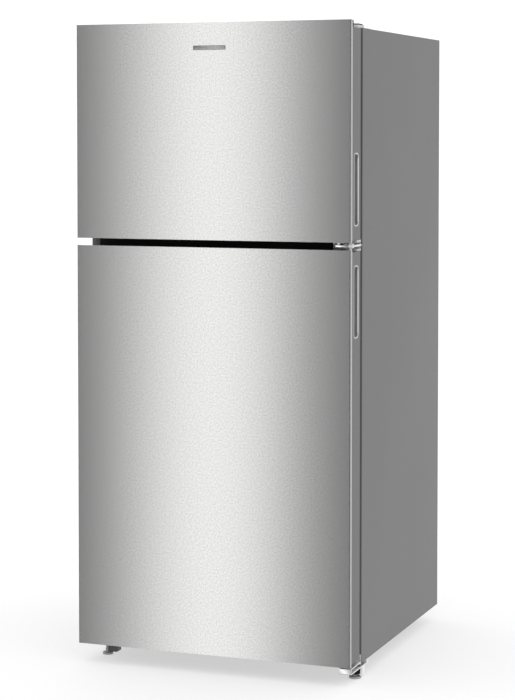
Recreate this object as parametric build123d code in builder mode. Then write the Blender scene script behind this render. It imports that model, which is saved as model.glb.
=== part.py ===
"""A free-standing top freezer refrigerator with two flat steel doors.

The row frame is in millimetres. The origin is on the floor, under the middle of the
refrigerator. +Z is up, the doors face -Y and the door hinges are on the +X side.
"""

import os
from math import cos, radians, sin

from build123d import *

os.makedirs("parts", exist_ok=True)

# ---------------------------------------------------------------- driving dimensions
WIDTH = 750.0
DEPTH = 800.0
HEIGHT = 1668.0  # floor to the top of the freezer door's front lip
DOOR_THICK = 76.0
GASKET_GAP = 16.0  # door back to cabinet front
FLOOR_GAP = 42.0  # floor to the underside of the cabinet
LIP_RISE = 17.0  # the freezer door's front lip stands this far above the cabinet top
DOOR_GAP = (1097.0, 1116.0)  # the open slot between the two front skins
FRIDGE_DOOR_LOW = 50.0
SHEET = 1.0  # steel sheet
PLASTIC = 1.5  # vacuum-formed liners
MOULDED = 2.0  # moulded pans and covers
BIN_WALL = 2.5  # moulded bins and drawers
BADGE_PROUD = 0.8
PIN_INSET = 20.0  # hinge pin axis, in from the hinge side
PIN_SETBACK = 42.0  # hinge pin axis, back from the door front
PIN_R = 5.0
RUNNING = 0.06  # radial clearance of a pin in its bore
LOOSE = 0.3  # gap between curved faces that must not touch

# ---------------------------------------------------------------- worked-out places
SIDE = WIDTH / 2
FRONT = -DEPTH / 2
BACK = DEPTH / 2
DOOR_BACK = FRONT + DOOR_THICK
CAB_FRONT = DOOR_BACK + GASKET_GAP
CAB_TOP = HEIGHT - LIP_RISE
CAB_LOW = FLOOR_GAP
PIN_X = SIDE - PIN_INSET
PIN_Y = FRONT + PIN_SETBACK

INNER = 325.0  # half width of both compartments
FLANGE_X = 352.0  # where the steel front flange ends and the liner flange starts
FREEZER_Z = (1136.0, 1591.0)
FREEZER_BACK = 300.0
FRIDGE_Z = (100.0, 1076.0)
FRIDGE_BACK = 330.0
STEP_Y = 130.0  # the fridge floor steps up here, over the machine compartment
STEP_Z = 330.0
MACHINE_Y = 170.0  # front wall of the machine compartment
MACHINE_TOP = 292.0

WRAP = 11.0  # depth of the door skin's side returns
BEND = 3.0  # bend radius of the door skin
CAP = 10.0  # thickness of the door end caps
LIP_DEPTH = 22.0
FREEZER_BODY = (DOOR_GAP[1] + 5.0, CAB_TOP - 1.0)
FRIDGE_BODY = (FRIDGE_DOOR_LOW + 7.0, DOOR_GAP[0] - 5.0)
POCKET_LONG = 182.0
POCKET_WIDE = 38.0
POCKET_DEEP = 18.0
POCKET_Y = FRONT + 44.0
POCKET_R = 12.0
POCKET_OFFSET = 131.0  # pocket centre to its door's edge at the slot

HINGE_X = (SIDE - 45.0, SIDE - 1.0)
HINGE_FRONT = FRONT + 12.0
FOOT_Y = -298.0
LEFT_FOOT_X = -338.0
RIGHT_FOOT_X = 355.0
ROLLER_R = 21.0
ROLLER_X = 290.0
ROLLER_Y = 335.0

BIN_BACK = DOOR_BACK + 2.0
BIN_FRONT = -226.0
BIN_HALF = 285.5
SHELF_FRONT = -195.0
CRISPER_Z = (101.0, 300.0)
COIL_FRONT = 252.0  # the evaporator stands between the cover and the liner's back


# ---------------------------------------------------------------- helpers
def slab(x, y, z, mode=Mode.ADD):
    """Adds or cuts a box given its low and high x, y and z."""
    with Locations(((x[0] + x[1]) / 2, (y[0] + y[1]) / 2, (z[0] + z[1]) / 2)):
        Box(x[1] - x[0], y[1] - y[0], z[1] - z[0], mode=mode)


def rod(place, direction, radius, length, mode=Mode.ADD):
    """Adds or cuts a cylinder that starts at a place and runs along a direction."""
    with Locations(Plane(origin=place, z_dir=direction)):
        Cylinder(radius, length, align=(Align.CENTER, Align.CENTER, Align.MIN), mode=mode)


def finish(piece, name):
    """Labels a finished piece and writes its STEP."""
    piece.label = name
    export_step(piece, f"parts/{name}.step")


def group(name, *pieces):
    """Writes several loose solids of one node as one STEP."""
    finish(Compound(children=[solid for piece in pieces for solid in piece.solids()]), name)


def tray(x, y, z, wall, corner):
    """An open-topped tray of even wall, with rounded upright corners and foot."""
    with BuildPart() as outer:
        slab(x, y, z)
        fillet(outer.edges().filter_by(Axis.Z), corner)
        fillet(outer.faces().sort_by(Axis.Z)[0].edges(), corner / 2)
        offset(amount=-wall, openings=outer.faces().sort_by(Axis.Z)[-1])
    return outer.part


# ---------------------------------------------------------------- cabinet shell
def side_panel(sign):
    """A painted steel side with its front flange turned in."""
    edge, inside = sign * SIDE, sign * (SIDE - SHEET)
    with BuildPart() as panel:
        with BuildSketch(Plane.XY.offset(CAB_LOW)):
            with BuildLine():
                Polyline(
                    (edge, BACK),
                    (edge, CAB_FRONT),
                    (sign * FLANGE_X, CAB_FRONT),
                    (sign * FLANGE_X, CAB_FRONT + SHEET),
                    (inside, CAB_FRONT + SHEET),
                    (inside, BACK),
                    (edge, BACK),
                )
            make_face()
        extrude(amount=CAB_TOP - SHEET - CAB_LOW)
        bend = panel.edges().filter_by(Axis.Z).group_by(Axis.Y)[0]
        fillet(bend.sort_by(Axis.X)[-1 if sign > 0 else 0], 2.5)
    return panel.part


with BuildPart() as top_panel:
    slab((-SIDE, SIDE), (CAB_FRONT, BACK), (CAB_TOP - SHEET, CAB_TOP))
    fillet(top_panel.edges().filter_by(Axis.Z).group_by(Axis.Y)[0], 2.5)
    slab(
        (-FLANGE_X, FLANGE_X),
        (CAB_FRONT, CAB_FRONT + SHEET),
        (FREEZER_Z[1] + 27, CAB_TOP - SHEET),
    )
group("cabinet_shell", side_panel(-1), side_panel(1), top_panel.part)

with BuildPart() as rear_panel:
    slab(
        (-SIDE + SHEET, SIDE - SHEET), (BACK - SHEET, BACK), (MACHINE_TOP, CAB_TOP - SHEET)
    )
finish(rear_panel.part, "rear_panel")

# foam: one convex block for each wall, face to face with the sheet and the liners
LINER_X = INNER + PLASTIC
SKIN_X = SIDE - SHEET
FOAM_FRONT = CAB_FRONT + SHEET + PLASTIC
FOAM_BACK = BACK - SHEET
with BuildPart() as cabinet_foam:
    for sign in (-1, 1):
        wall_x = sorted((sign * LINER_X, sign * SKIN_X))
        slab(wall_x, (FOAM_FRONT, FOAM_BACK), (MACHINE_TOP + SHEET, CAB_TOP - SHEET))
        slab(wall_x, (FOAM_FRONT, MACHINE_Y - SHEET), (76, MACHINE_TOP + SHEET))
foam_blocks = list(cabinet_foam.part.solids())


def foam_block(x, y, z):
    """Keeps one more foam wall as a separate solid."""
    with BuildPart() as block:
        slab(x, y, z)
    foam_blocks.append(block.part.solid())


across = (-LINER_X, LINER_X)
foam_block(across, (FOAM_FRONT, FOAM_BACK), (FREEZER_Z[1] + PLASTIC, CAB_TOP - SHEET))
foam_block(
    across,
    (FREEZER_BACK + PLASTIC, FOAM_BACK),
    (FREEZER_Z[0] - PLASTIC, FREEZER_Z[1] + PLASTIC),
)
foam_block(
    across,
    (FOAM_FRONT, FOAM_BACK),
    (FRIDGE_Z[1] + PLASTIC, FREEZER_Z[0] - PLASTIC),
)
foam_block(
    across, (FRIDGE_BACK + PLASTIC, FOAM_BACK), (MACHINE_TOP + SHEET, FRIDGE_Z[1] + PLASTIC)
)
foam_block(
    across,
    (STEP_Y + PLASTIC, FRIDGE_BACK + PLASTIC),
    (MACHINE_TOP + SHEET, STEP_Z - PLASTIC),
)
foam_block(
    across, (STEP_Y + PLASTIC, MACHINE_Y - SHEET), (76, MACHINE_TOP + SHEET)
)
foam_block(across, (FOAM_FRONT, STEP_Y + PLASTIC), (76, FRIDGE_Z[0] - PLASTIC))
finish(Compound(children=foam_blocks), "cabinet_foam")


def freezer_cavity(grow):
    """The freezer compartment's space, grown by a wall thickness."""
    with BuildPart() as space:
        slab(
            (-INNER - grow, INNER + grow),
            (CAB_FRONT - 5, FREEZER_BACK + grow),
            (FREEZER_Z[0] - grow, FREEZER_Z[1] + grow),
        )
        fillet(space.edges().filter_by(Axis.Y), 22 + grow)
        fillet(space.faces().sort_by(Axis.Y)[-1].edges(), 14 + grow)
    return space.part


def fridge_cavity(grow):
    """The fresh food compartment's space, with the step over the machine space."""
    low, high = FRIDGE_Z[0] - grow, FRIDGE_Z[1] + grow
    rounded = []
    with BuildPart() as space:
        with BuildSketch(Plane.YZ.offset(-INNER - grow)) as profile:
            with BuildLine():
                Polyline(
                    (CAB_FRONT - 5, low),
                    (STEP_Y + grow, low),
                    (STEP_Y + grow, STEP_Z - grow),
                    (FRIDGE_BACK + grow, STEP_Z - grow),
                    (FRIDGE_BACK + grow, high),
                    (CAB_FRONT - 5, high),
                    (CAB_FRONT - 5, low),
                )
            make_face()
            for corner in profile.vertices():
                on_step_edge = abs(corner.X - STEP_Y) < 3 and abs(corner.Y - STEP_Z) < 3
                if corner.X > CAB_FRONT and not on_step_edge:
                    rounded.append(corner)
            fillet(rounded, 16)
        extrude(amount=2 * (INNER + grow))
        ends = space.faces().filter_by(Axis.X)
        sides = [e for e in ends.edges() if e.center().Y > CAB_FRONT - 4]
        fillet(sides, 12 + grow)
    return space.part


def compartment_liner(cavity, flange_z, name):
    """A white formed liner with its flange along the cabinet front."""
    with BuildPart() as liner:
        add(cavity(PLASTIC))
        slab((-SIDE, SIDE), (CAB_FRONT - 20, CAB_FRONT), (0, HEIGHT), Mode.SUBTRACT)
        slab((-FLANGE_X, FLANGE_X), (CAB_FRONT, CAB_FRONT + PLASTIC), flange_z)
        add(cavity(0), mode=Mode.SUBTRACT)
    finish(liner.part, name)


compartment_liner(freezer_cavity, (FREEZER_Z[0] - 6, FREEZER_Z[1] + 27), "freezer_liner")
compartment_liner(fridge_cavity, (76, FRIDGE_Z[1] + 6), "fridge_liner")

MULLION_Z = (FRIDGE_Z[1] + 6, FREEZER_Z[0] - 6)
with BuildPart() as mullion_cover:
    slab((-FLANGE_X, FLANGE_X), (CAB_FRONT, FOAM_FRONT), MULLION_Z)
finish(mullion_cover.part, "mullion_cover")

# ---------------------------------------------------------------- base and machine space
with BuildPart() as base_rail:
    slab((-SKIN_X, SKIN_X), (CAB_FRONT + SHEET, -218), (CAB_LOW, CAB_LOW + 2))
    slab((-FLANGE_X, FLANGE_X), (CAB_FRONT, CAB_FRONT + SHEET), (CAB_LOW, 76))
    slab((-SKIN_X, SKIN_X), (-220, -218), (CAB_LOW + 2, 74))
    for foot_x in (LEFT_FOOT_X, RIGHT_FOOT_X):
        rod((foot_x, FOOT_Y, CAB_LOW - 1), (0, 0, 1), 7.5, 6, Mode.SUBTRACT)

TRAY_Z = 58.0
with BuildPart() as compressor_tray:
    slab((-SKIN_X, SKIN_X), (MACHINE_Y, FOAM_BACK), (TRAY_Z, TRAY_Z + 2))
    slab((-SKIN_X, SKIN_X), (MACHINE_Y - SHEET, MACHINE_Y), (TRAY_Z, MACHINE_TOP))
    slab((-SKIN_X, SKIN_X), (MACHINE_Y - SHEET, FOAM_BACK), (MACHINE_TOP, MACHINE_TOP + SHEET))
    for sign in (-1, 1):
        flange_x = sorted((sign * (SKIN_X - 2), sign * SKIN_X))
        slab(flange_x, (MACHINE_Y, FOAM_BACK), (CAB_LOW, TRAY_Z))

with BuildPart() as floor_sheet:
    slab((-SKIN_X, SKIN_X), (-218, MACHINE_Y - SHEET), (74, 76))
group("base_frame", base_rail.part, compressor_tray.part, floor_sheet.part)

INLET = (-330.0, 100.0)  # x and z of the gland where the supply cord comes out
with BuildPart() as machine_cover:
    slab(
        (-SIDE + 12, SIDE - 12), (BACK, BACK + BADGE_PROUD), (TRAY_Z + 4, MACHINE_TOP + 22)
    )
    with BuildSketch(Plane.XZ.offset(-BACK + 1)):
        with Locations((0, (TRAY_Z + MACHINE_TOP) / 2)):
            with GridLocations(28, 24, 20, 7):
                SlotOverall(18, 6)
        with Locations(INLET):
            Circle(12 + LOOSE)
    extrude(amount=-4, mode=Mode.SUBTRACT)
finish(machine_cover.part, "machine_cover")

with BuildPart() as cord_inlet:
    rod((INLET[0], BACK + BADGE_PROUD, INLET[1]), (0, -1, 0), 12, 14)
    rod((INLET[0], BACK + BADGE_PROUD + 1, INLET[1]), (0, -1, 0), 4.5, 10, Mode.SUBTRACT)
finish(cord_inlet.part, "cord_inlet")

with BuildPart() as roller_brackets:
    for sign in (-1, 1):
        for cheek in (-14.0, 14.0):
            cheek_x = sign * ROLLER_X + cheek
            slab((cheek_x - 1, cheek_x + 1), (ROLLER_Y - 15, ROLLER_Y + 15), (14, TRAY_Z))
        rod((sign * ROLLER_X - 15, ROLLER_Y, ROLLER_R), (1, 0, 0), 4, 30)

for side_name, sign in (("left", -1), ("right", 1)):
    with BuildPart() as roller:
        with BuildSketch(Plane.YZ.offset(sign * ROLLER_X - 11)):
            with Locations((ROLLER_Y, ROLLER_R)):
                Circle(ROLLER_R)
                Circle(4 + RUNNING, mode=Mode.SUBTRACT)
        extrude(amount=22)
        chamfer(roller.edges().filter_by(GeomType.CIRCLE).sort_by(SortBy.RADIUS)[-2:], 1.5)
    finish(roller.part, f"{side_name}_roller")

# ---------------------------------------------------------------- levelling feet
BRACKET_Z = (36.0, 39.0)


def levelling_foot(x, name, pad_r):
    """A screw foot: round pad, hexagon for the spanner, and a long stem."""
    with BuildPart() as foot:
        rod((x, FOOT_Y, 0), (0, 0, 1), pad_r, 6)
        chamfer(foot.edges().sort_by(Axis.Z)[-1], 1.5)
        with BuildSketch(Plane.XY.offset(6)):
            with Locations((x, FOOT_Y)):
                RegularPolygon(6.5, 6)
        extrude(amount=9)
        rod((x, FOOT_Y, 15), (0, 0, 1), PIN_R, 54)
    finish(foot.part, name)


levelling_foot(LEFT_FOOT_X, "left_levelling_foot", 14.0)
levelling_foot(RIGHT_FOOT_X, "right_levelling_foot", 15.5)

with BuildPart() as left_foot_bracket:
    slab((-356, -308), (CAB_FRONT + 1, -262), BRACKET_Z)
    slab((-356, -308), (-278, -262), (BRACKET_Z[1], CAB_LOW))
    slab((-332, -308), (CAB_FRONT + 1, CAB_FRONT + 4), (9, BRACKET_Z[0]))
    slab((-311, -308), (CAB_FRONT + 4, -278), (9, BRACKET_Z[0]))
    rod((LEFT_FOOT_X, FOOT_Y, 20), (0, 0, 1), PIN_R + RUNNING, 30, Mode.SUBTRACT)
group("foot_brackets", left_foot_bracket.part, roller_brackets.part)

# ---------------------------------------------------------------- hinges
ARM_X = (PIN_X - 12, SIDE - 1)
ARM_Z = (30.0, 33.0)
with BuildPart() as bottom_hinge:
    with BuildSketch(Plane.YZ.offset(ARM_X[0])) as arm:
        with BuildLine():
            Polyline(
                (CAB_FRONT - 2, 46),
                (HINGE_FRONT + 2, 46),
                (HINGE_FRONT, 44),
                (HINGE_FRONT, 32),
                (HINGE_FRONT + 2, ARM_Z[0]),
                (-246, ARM_Z[0]),
                (-246, CAB_LOW),
                (-262, CAB_LOW),
                (-262, ARM_Z[1]),
                (HINGE_FRONT + 3, ARM_Z[1]),
                (HINGE_FRONT + 3, 43),
                (CAB_FRONT - 2, 43),
                (CAB_FRONT - 2, 46),
            )
        make_face()
    extrude(amount=ARM_X[1] - ARM_X[0])
    slab((HINGE_X[1] - 3, HINGE_X[1]), (CAB_FRONT + 4, -274), (8, ARM_Z[0]))
    slab(HINGE_X, (CAB_FRONT - 3, CAB_FRONT), (BRACKET_Z[1], 64.5))
    fillet(
        bottom_hinge.edges().filter_by(Axis.Z).group_by(Axis.Y)[0].sort_by(Axis.X)[-1], 0.9
    )
    rod((RIGHT_FOOT_X, FOOT_Y, 20), (0, 0, 1), PIN_R + RUNNING, 30, Mode.SUBTRACT)
finish(bottom_hinge.part, "bottom_hinge")

SLOT_MID = (DOOR_GAP[0] + DOOR_GAP[1]) / 2
PLATE_Z = (SLOT_MID - 2.5, SLOT_MID + 2.5)
with BuildPart() as centre_hinge:
    slab(HINGE_X, (HINGE_FRONT, CAB_FRONT), PLATE_Z)
    corners = centre_hinge.edges().filter_by(Axis.Z).group_by(Axis.Y)[0]
    fillet(corners.sort_by(Axis.X)[-1], 16)
    slab((SIDE - 76, SIDE - 4), (CAB_FRONT - 3, CAB_FRONT), (SLOT_MID - 14, SLOT_MID + 14))
finish(centre_hinge.part, "centre_hinge")

with BuildPart() as top_hinge:
    with BuildSketch(Plane.XY.offset(CAB_TOP)):
        with BuildLine():
            Polyline(
                (PIN_X - 9, PIN_Y - 9),
                (PIN_X - 38, CAB_FRONT - 12),
                (PIN_X - 38, CAB_FRONT + 92),
                (PIN_X + 12, CAB_FRONT + 92),
                (PIN_X + 12, CAB_FRONT - 8),
                (PIN_X + 3, PIN_Y + 36),
                (PIN_X + 3, PIN_Y + 12),
                (PIN_X + 10, PIN_Y),
                (PIN_X + 6, PIN_Y - 9),
                (PIN_X - 9, PIN_Y - 9),
            )
        make_face()
    extrude(amount=2.5)

COVER_STEPS = (CAB_TOP + 2.5, CAB_TOP + 8.0, CAB_TOP + 11.0)


def hinge_cap(z, slope, back):
    """One layer of the cover over the top pin, sloped down at its back."""
    with BuildPart() as cap:
        with BuildSketch(Plane.XY.offset(z[0])):
            with BuildLine():
                Polyline(
                    (PIN_X - 9, PIN_Y - 9),
                    (PIN_X - 40, CAB_FRONT - 15),
                    (PIN_X - 40, CAB_FRONT - 4),
                    (PIN_X - 12, CAB_FRONT - 4),
                    (PIN_X - 12, back),
                    (PIN_X + 12, back),
                    (PIN_X + 12, CAB_FRONT - 8),
                    (PIN_X + 3.5, PIN_Y + 36),
                    (PIN_X + 3.5, PIN_Y + 12),
                    (PIN_X + 10, PIN_Y),
                    (PIN_X + 6, PIN_Y - 9),
                    (PIN_X - 9, PIN_Y - 9),
                )
            make_face()
        extrude(amount=z[1] - z[0])
        back_top = cap.faces().sort_by(Axis.Y)[-1].edges().sort_by(Axis.Z)[-1]
        chamfer(back_top, z[1] - z[0] - 0.4, slope)
    return cap.part


group("top_hinge", top_hinge.part, hinge_cap(COVER_STEPS[:2], 4, -272))
finish(hinge_cap(COVER_STEPS[1:], 16, -276), "top_hinge_cover")

PIN_REACH = 24.0
KNUCKLE = 6.0
with BuildPart() as hinge_pins:
    rod((PIN_X, PIN_Y, 46), (0, 0, 1), PIN_R, FRIDGE_BODY[0] + PIN_REACH - 46)
    rod((PIN_X, PIN_Y, 46), (0, 0, 1), 9, FRIDGE_BODY[0] - LOOSE - 46)
    for way, plate, body in ((1, PLATE_Z[1], FREEZER_BODY[0]), (-1, PLATE_Z[0], FRIDGE_BODY[1])):
        reach = abs(body - plate)
        rod((PIN_X, PIN_Y, plate), (0, 0, way), PIN_R, reach + PIN_REACH)
        rod((PIN_X, PIN_Y, plate), (0, 0, way), 9, reach - LOOSE)
        rod((PIN_X, PIN_Y, plate), (0, 0, way), 14, SLOT_MID + KNUCKLE - PLATE_Z[1])
    rod((PIN_X, PIN_Y, CAB_TOP), (0, 0, -1), PIN_R, PIN_REACH + 1)
finish(hinge_pins.part, "hinge_pins")

with BuildPart() as hinge_screws:
    for x in (SIDE - 70, SIDE - 54):
        rod((x, CAB_FRONT - 3, SLOT_MID), (0, -1, 0), 4.2, 2.6)
    for x in (HINGE_X[0] + 10, HINGE_X[1] - 10):
        rod((x, CAB_FRONT - 3, 55.5), (0, -1, 0), 4.2, 2.6)
    fillet(hinge_screws.edges().filter_by(GeomType.CIRCLE).group_by(Axis.Y)[0], 1.2)
    for y in (CAB_FRONT + 22, CAB_FRONT + 50, CAB_FRONT + 78):
        rod((PIN_X - 18, y, CAB_TOP + 2.5), (0, 0, 1), 4.2, 2.6)
finish(hinge_screws.part, "hinge_screws")


# ---------------------------------------------------------------- doors
def door_skin(z, name):
    """The brushed steel front, bent round both sides."""
    with BuildPart() as skin:
        with BuildSketch(Plane.XY.offset(z[0])) as plan:
            with Locations((0, FRONT + WRAP / 2)):
                Rectangle(WIDTH, WRAP)
            fillet(plan.vertices().group_by(Axis.Y)[0], BEND)
            with Locations((0, FRONT + WRAP / 2 + SHEET)):
                Rectangle(WIDTH - 2 * SHEET, WRAP, mode=Mode.SUBTRACT)
        extrude(amount=z[1] - z[0])
    finish(skin.part, name)


def pocket_slot(x, depth, z, grow, mode):
    """Adds or cuts a rounded pocket shape that runs from x towards the middle."""
    with BuildSketch(Plane.YZ.offset(x)) as outline:
        with Locations((POCKET_Y, z)):
            RectangleRounded(
                POCKET_WIDE + 2 * grow, POCKET_LONG + 2 * grow, POCKET_R + grow
            )
    extrude(to_extrude=outline.sketch, amount=depth, mode=mode)


def door_sides(body, pocket_z, name):
    """The painted side strips behind the skin, with a cut-out for each grip."""
    with BuildPart() as sides:
        for sign in (-1, 1):
            strip_x = sorted((sign * SIDE, sign * (SIDE - SHEET)))
            slab(strip_x, (FRONT + WRAP, DOOR_BACK), body)
        pocket_slot(-SIDE - 5, WIDTH + 10, pocket_z, PLASTIC + LOOSE, Mode.SUBTRACT)
    finish(sides.part, name)


def door_pockets(pocket_z, name):
    """The two moulded finger grips, one on each side of the door."""
    with BuildPart() as pockets:
        for sign in (-1, 1):
            pocket_slot(sign * (SIDE - 0.2), -sign * POCKET_DEEP, pocket_z, PLASTIC, Mode.ADD)
            pocket_slot(
                sign * (SIDE + 1),
                -sign * (POCKET_DEEP - PLASTIC + 1.2),
                pocket_z,
                0,
                Mode.SUBTRACT,
            )
    finish(pockets.part, name)


def dyke(z, shrink, front, rounding):
    """The raised ring on a door's inside, shrunk evenly by a wall thickness."""
    outer, band, back = 318.0, 32.0, DOOR_BACK + 34.0
    with BuildPart() as solid:
        slab(
            (-outer + shrink, outer - shrink), (front, back - shrink), (z[0] + shrink, z[1] - shrink)
        )
        slab(
            (-outer + band - shrink, outer - band + shrink),
            (front - 1, back + 1),
            (z[0] + band - shrink, z[1] - band + shrink),
            Mode.SUBTRACT,
        )
        if rounding:
            fillet(solid.faces().sort_by(Axis.Y)[-1].edges(), rounding)
    return solid.part


def door_liner(body, dyke_z, name):
    """The white inner door with its raised ring."""
    with BuildPart() as liner:
        slab((-SIDE + 1, SIDE - 1), (DOOR_BACK - PLASTIC, DOOR_BACK), body)
        add(dyke(dyke_z, 0, DOOR_BACK - PLASTIC, 6))
        add(dyke(dyke_z, PLASTIC, DOOR_BACK - PLASTIC - 1, 4.5), mode=Mode.SUBTRACT)
    finish(liner.part, name)


def door_core(body, dyke_z, pocket_z, pins_z, name):
    """The door's foam: one slab, and a bar inside each side of the raised ring."""
    with BuildPart() as core:
        slab(
            (-SIDE + SHEET, SIDE - SHEET),
            (FRONT + WRAP, DOOR_BACK - PLASTIC),
            (body[0] + CAP, body[1] - CAP),
        )
        slab(
            (-SIDE + SHEET + BEND, SIDE - SHEET - BEND),
            (FRONT + SHEET, FRONT + WRAP),
            (body[0] + CAP, body[1] - CAP),
        )
        for sign in (-1, 1):
            pocket_slot(
                sign * (SIDE + 1),
                -sign * (POCKET_DEEP + 1 + LOOSE),
                pocket_z,
                PLASTIC + LOOSE,
                Mode.SUBTRACT,
            )
        for z in pins_z:
            rod((PIN_X, PIN_Y, z - 20), (0, 0, 1), 9 + LOOSE, 40, Mode.SUBTRACT)
    blocks = list(core.part.solids())
    outer, band, gap = 318.0, 32.0, PLASTIC + 2.0
    deep = (DOOR_BACK - PLASTIC, DOOR_BACK + 34 - gap)
    low, high = dyke_z[0] + gap, dyke_z[1] - gap
    for x, z in (
        ((-outer + gap, outer - gap), (low, low + band - 2 * gap)),
        ((-outer + gap, outer - gap), (high - band + 2 * gap, high)),
        ((-outer + gap, -outer + band - gap), (low + band - 2 * gap, high - band + 2 * gap)),
        ((outer - band + gap, outer - gap), (low + band - 2 * gap, high - band + 2 * gap)),
    ):
        with BuildPart() as bar:
            slab(x, deep, z)
        blocks.append(bar.part.solid())
    finish(Compound(children=blocks), name)


def end_cap(z, boss):
    """A moulded end cap with the hinge bore in a boss that points into the door."""
    with BuildPart() as cap:
        slab((-SIDE + SHEET, SIDE - SHEET), (FRONT + WRAP, DOOR_BACK - PLASTIC), z)
        slab((-SIDE + SHEET + BEND, SIDE - SHEET - BEND), (FRONT + SHEET, FRONT + WRAP), z)
        if boss:
            start = z[1] if boss > 0 else z[0]
            rod((PIN_X, PIN_Y, start), (0, 0, boss), 9, 18)
            rod((PIN_X, PIN_Y, z[0] - 30), (0, 0, 1), PIN_R + RUNNING, 70, Mode.SUBTRACT)
    return cap.part


def stop_tab(z):
    """The pale stop block at the hinge end of an end cap."""
    with BuildPart() as tab:
        slab((SIDE - 14, SIDE - 0.5), (PIN_Y + 10, DOOR_BACK + 6), z)
    return tab.part


def door_gasket(z, name):
    """The magnetic seal, four strips with a narrow neck."""
    outer, inner = 354.0, 336.0
    strips = []
    for x, span in (
        ((-outer, outer), (z[0], z[0] + 18)),
        ((-outer, outer), (z[1] - 18, z[1])),
        ((-outer, -inner), (z[0] + 18, z[1] - 18)),
        ((inner, outer), (z[0] + 18, z[1] - 18)),
    ):
        level = span[1] - span[0] < 100
        with BuildPart() as strip:
            slab(x, (DOOR_BACK, DOOR_BACK + 3), span)
            if level:
                slab(x, (DOOR_BACK + 3, DOOR_BACK + 8), (span[0] + 4, span[1] - 4))
            else:
                slab((x[0] + 4, x[1] - 4), (DOOR_BACK + 3, DOOR_BACK + 8), span)
            slab(x, (DOOR_BACK + 8, CAB_FRONT - 0.5), span)
        strips.append(strip.part.solid())
    finish(Compound(children=strips), name)


FREEZER_DYKE = (1146.0, 1581.0)
FRIDGE_DYKE = (110.0, 1066.0)
FREEZER_POCKET = DOOR_GAP[1] + POCKET_OFFSET
FRIDGE_POCKET = DOOR_GAP[0] - POCKET_OFFSET

door_skin((DOOR_GAP[1], HEIGHT), "freezer_door_skin")
door_skin((FRIDGE_DOOR_LOW, DOOR_GAP[0]), "fridge_door_skin")
door_sides(FREEZER_BODY, FREEZER_POCKET, "freezer_door_sides")
door_sides(FRIDGE_BODY, FRIDGE_POCKET, "fridge_door_sides")
door_pockets(FREEZER_POCKET, "freezer_door_grips")
door_pockets(FRIDGE_POCKET, "fridge_door_grips")
door_liner(FREEZER_BODY, FREEZER_DYKE, "freezer_door_liner")
door_liner(FRIDGE_BODY, FRIDGE_DYKE, "fridge_door_liner")
door_core(
    FREEZER_BODY,
    FREEZER_DYKE,
    FREEZER_POCKET,
    (FREEZER_BODY[0] + CAP, FREEZER_BODY[1] - CAP),
    "freezer_door_foam",
)
door_core(
    FRIDGE_BODY,
    FRIDGE_DYKE,
    FRIDGE_POCKET,
    (FRIDGE_BODY[0] + CAP, FRIDGE_BODY[1] - CAP),
    "fridge_door_foam",
)
door_gasket((FREEZER_BODY[0] + 3, FREEZER_BODY[1] - 10), "freezer_door_gasket")
door_gasket((FRIDGE_BODY[0] + 9, FRIDGE_BODY[1] - 2), "fridge_door_gasket")

with BuildPart() as freezer_top_cap:
    add(end_cap((FREEZER_BODY[1] - CAP, FREEZER_BODY[1]), -1))
    lip_z = (FREEZER_BODY[1], HEIGHT - 1)
    slab((-SIDE + SHEET, SIDE - SHEET), (FRONT + WRAP, FRONT + LIP_DEPTH), lip_z)
    slab((-SIDE + SHEET + BEND, SIDE - SHEET - BEND), (FRONT + SHEET, FRONT + WRAP), lip_z)

with BuildPart() as freezer_bottom_cap:
    add(end_cap((FREEZER_BODY[0], FREEZER_BODY[0] + CAP), 1))
    add(stop_tab((DOOR_GAP[1] - 2.5, FREEZER_BODY[0])))
group("freezer_door_caps", freezer_top_cap.part, freezer_bottom_cap.part)

with BuildPart() as fridge_top_cap:
    add(end_cap((FRIDGE_BODY[1] - CAP, FRIDGE_BODY[1]), -1))
    add(stop_tab((FRIDGE_BODY[1], DOOR_GAP[0] + 1)))
fridge_bottom_cap = end_cap((FRIDGE_BODY[0], FRIDGE_BODY[0] + CAP), 1)
group("fridge_door_caps", fridge_top_cap.part, fridge_bottom_cap)

BADGE_X, BADGE_Z = -3.0, HEIGHT - 64.0
with BuildPart() as badge:
    with BuildSketch(Plane.XZ.offset(-FRONT)):
        with Locations((BADGE_X, BADGE_Z)):
            RectangleRounded(88, 12, 2)
    extrude(amount=BADGE_PROUD)
finish(badge.part, "badge")


# ---------------------------------------------------------------- door bins
def door_bin(low, high):
    """A clear bin that hangs between the sides of the raised ring."""
    return tray((-BIN_HALF, BIN_HALF), (BIN_BACK, BIN_FRONT), (low, high), BIN_WALL, 14)


group("freezer_door_bins", door_bin(1196, 1266), door_bin(1376, 1446))
group("fridge_door_bins", door_bin(346, 446), door_bin(562, 640), door_bin(738, 810))
finish(door_bin(864, 930), "dairy_bin")

LID_Z = 934.0
LID_Y = BIN_BACK + 10.0
with BuildPart() as dairy_lid:
    slab((-BIN_HALF, BIN_HALF), (LID_Y, BIN_FRONT + 2.6), (LID_Z - 2.5, LID_Z))
    slab((-BIN_HALF, BIN_HALF), (BIN_FRONT + 0.6, BIN_FRONT + 2.6), (LID_Z - 14, LID_Z))
    rod((-BIN_HALF, LID_Y, LID_Z), (1, 0, 0), 3, 2 * BIN_HALF)
finish(dairy_lid.part, "dairy_lid")

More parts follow.
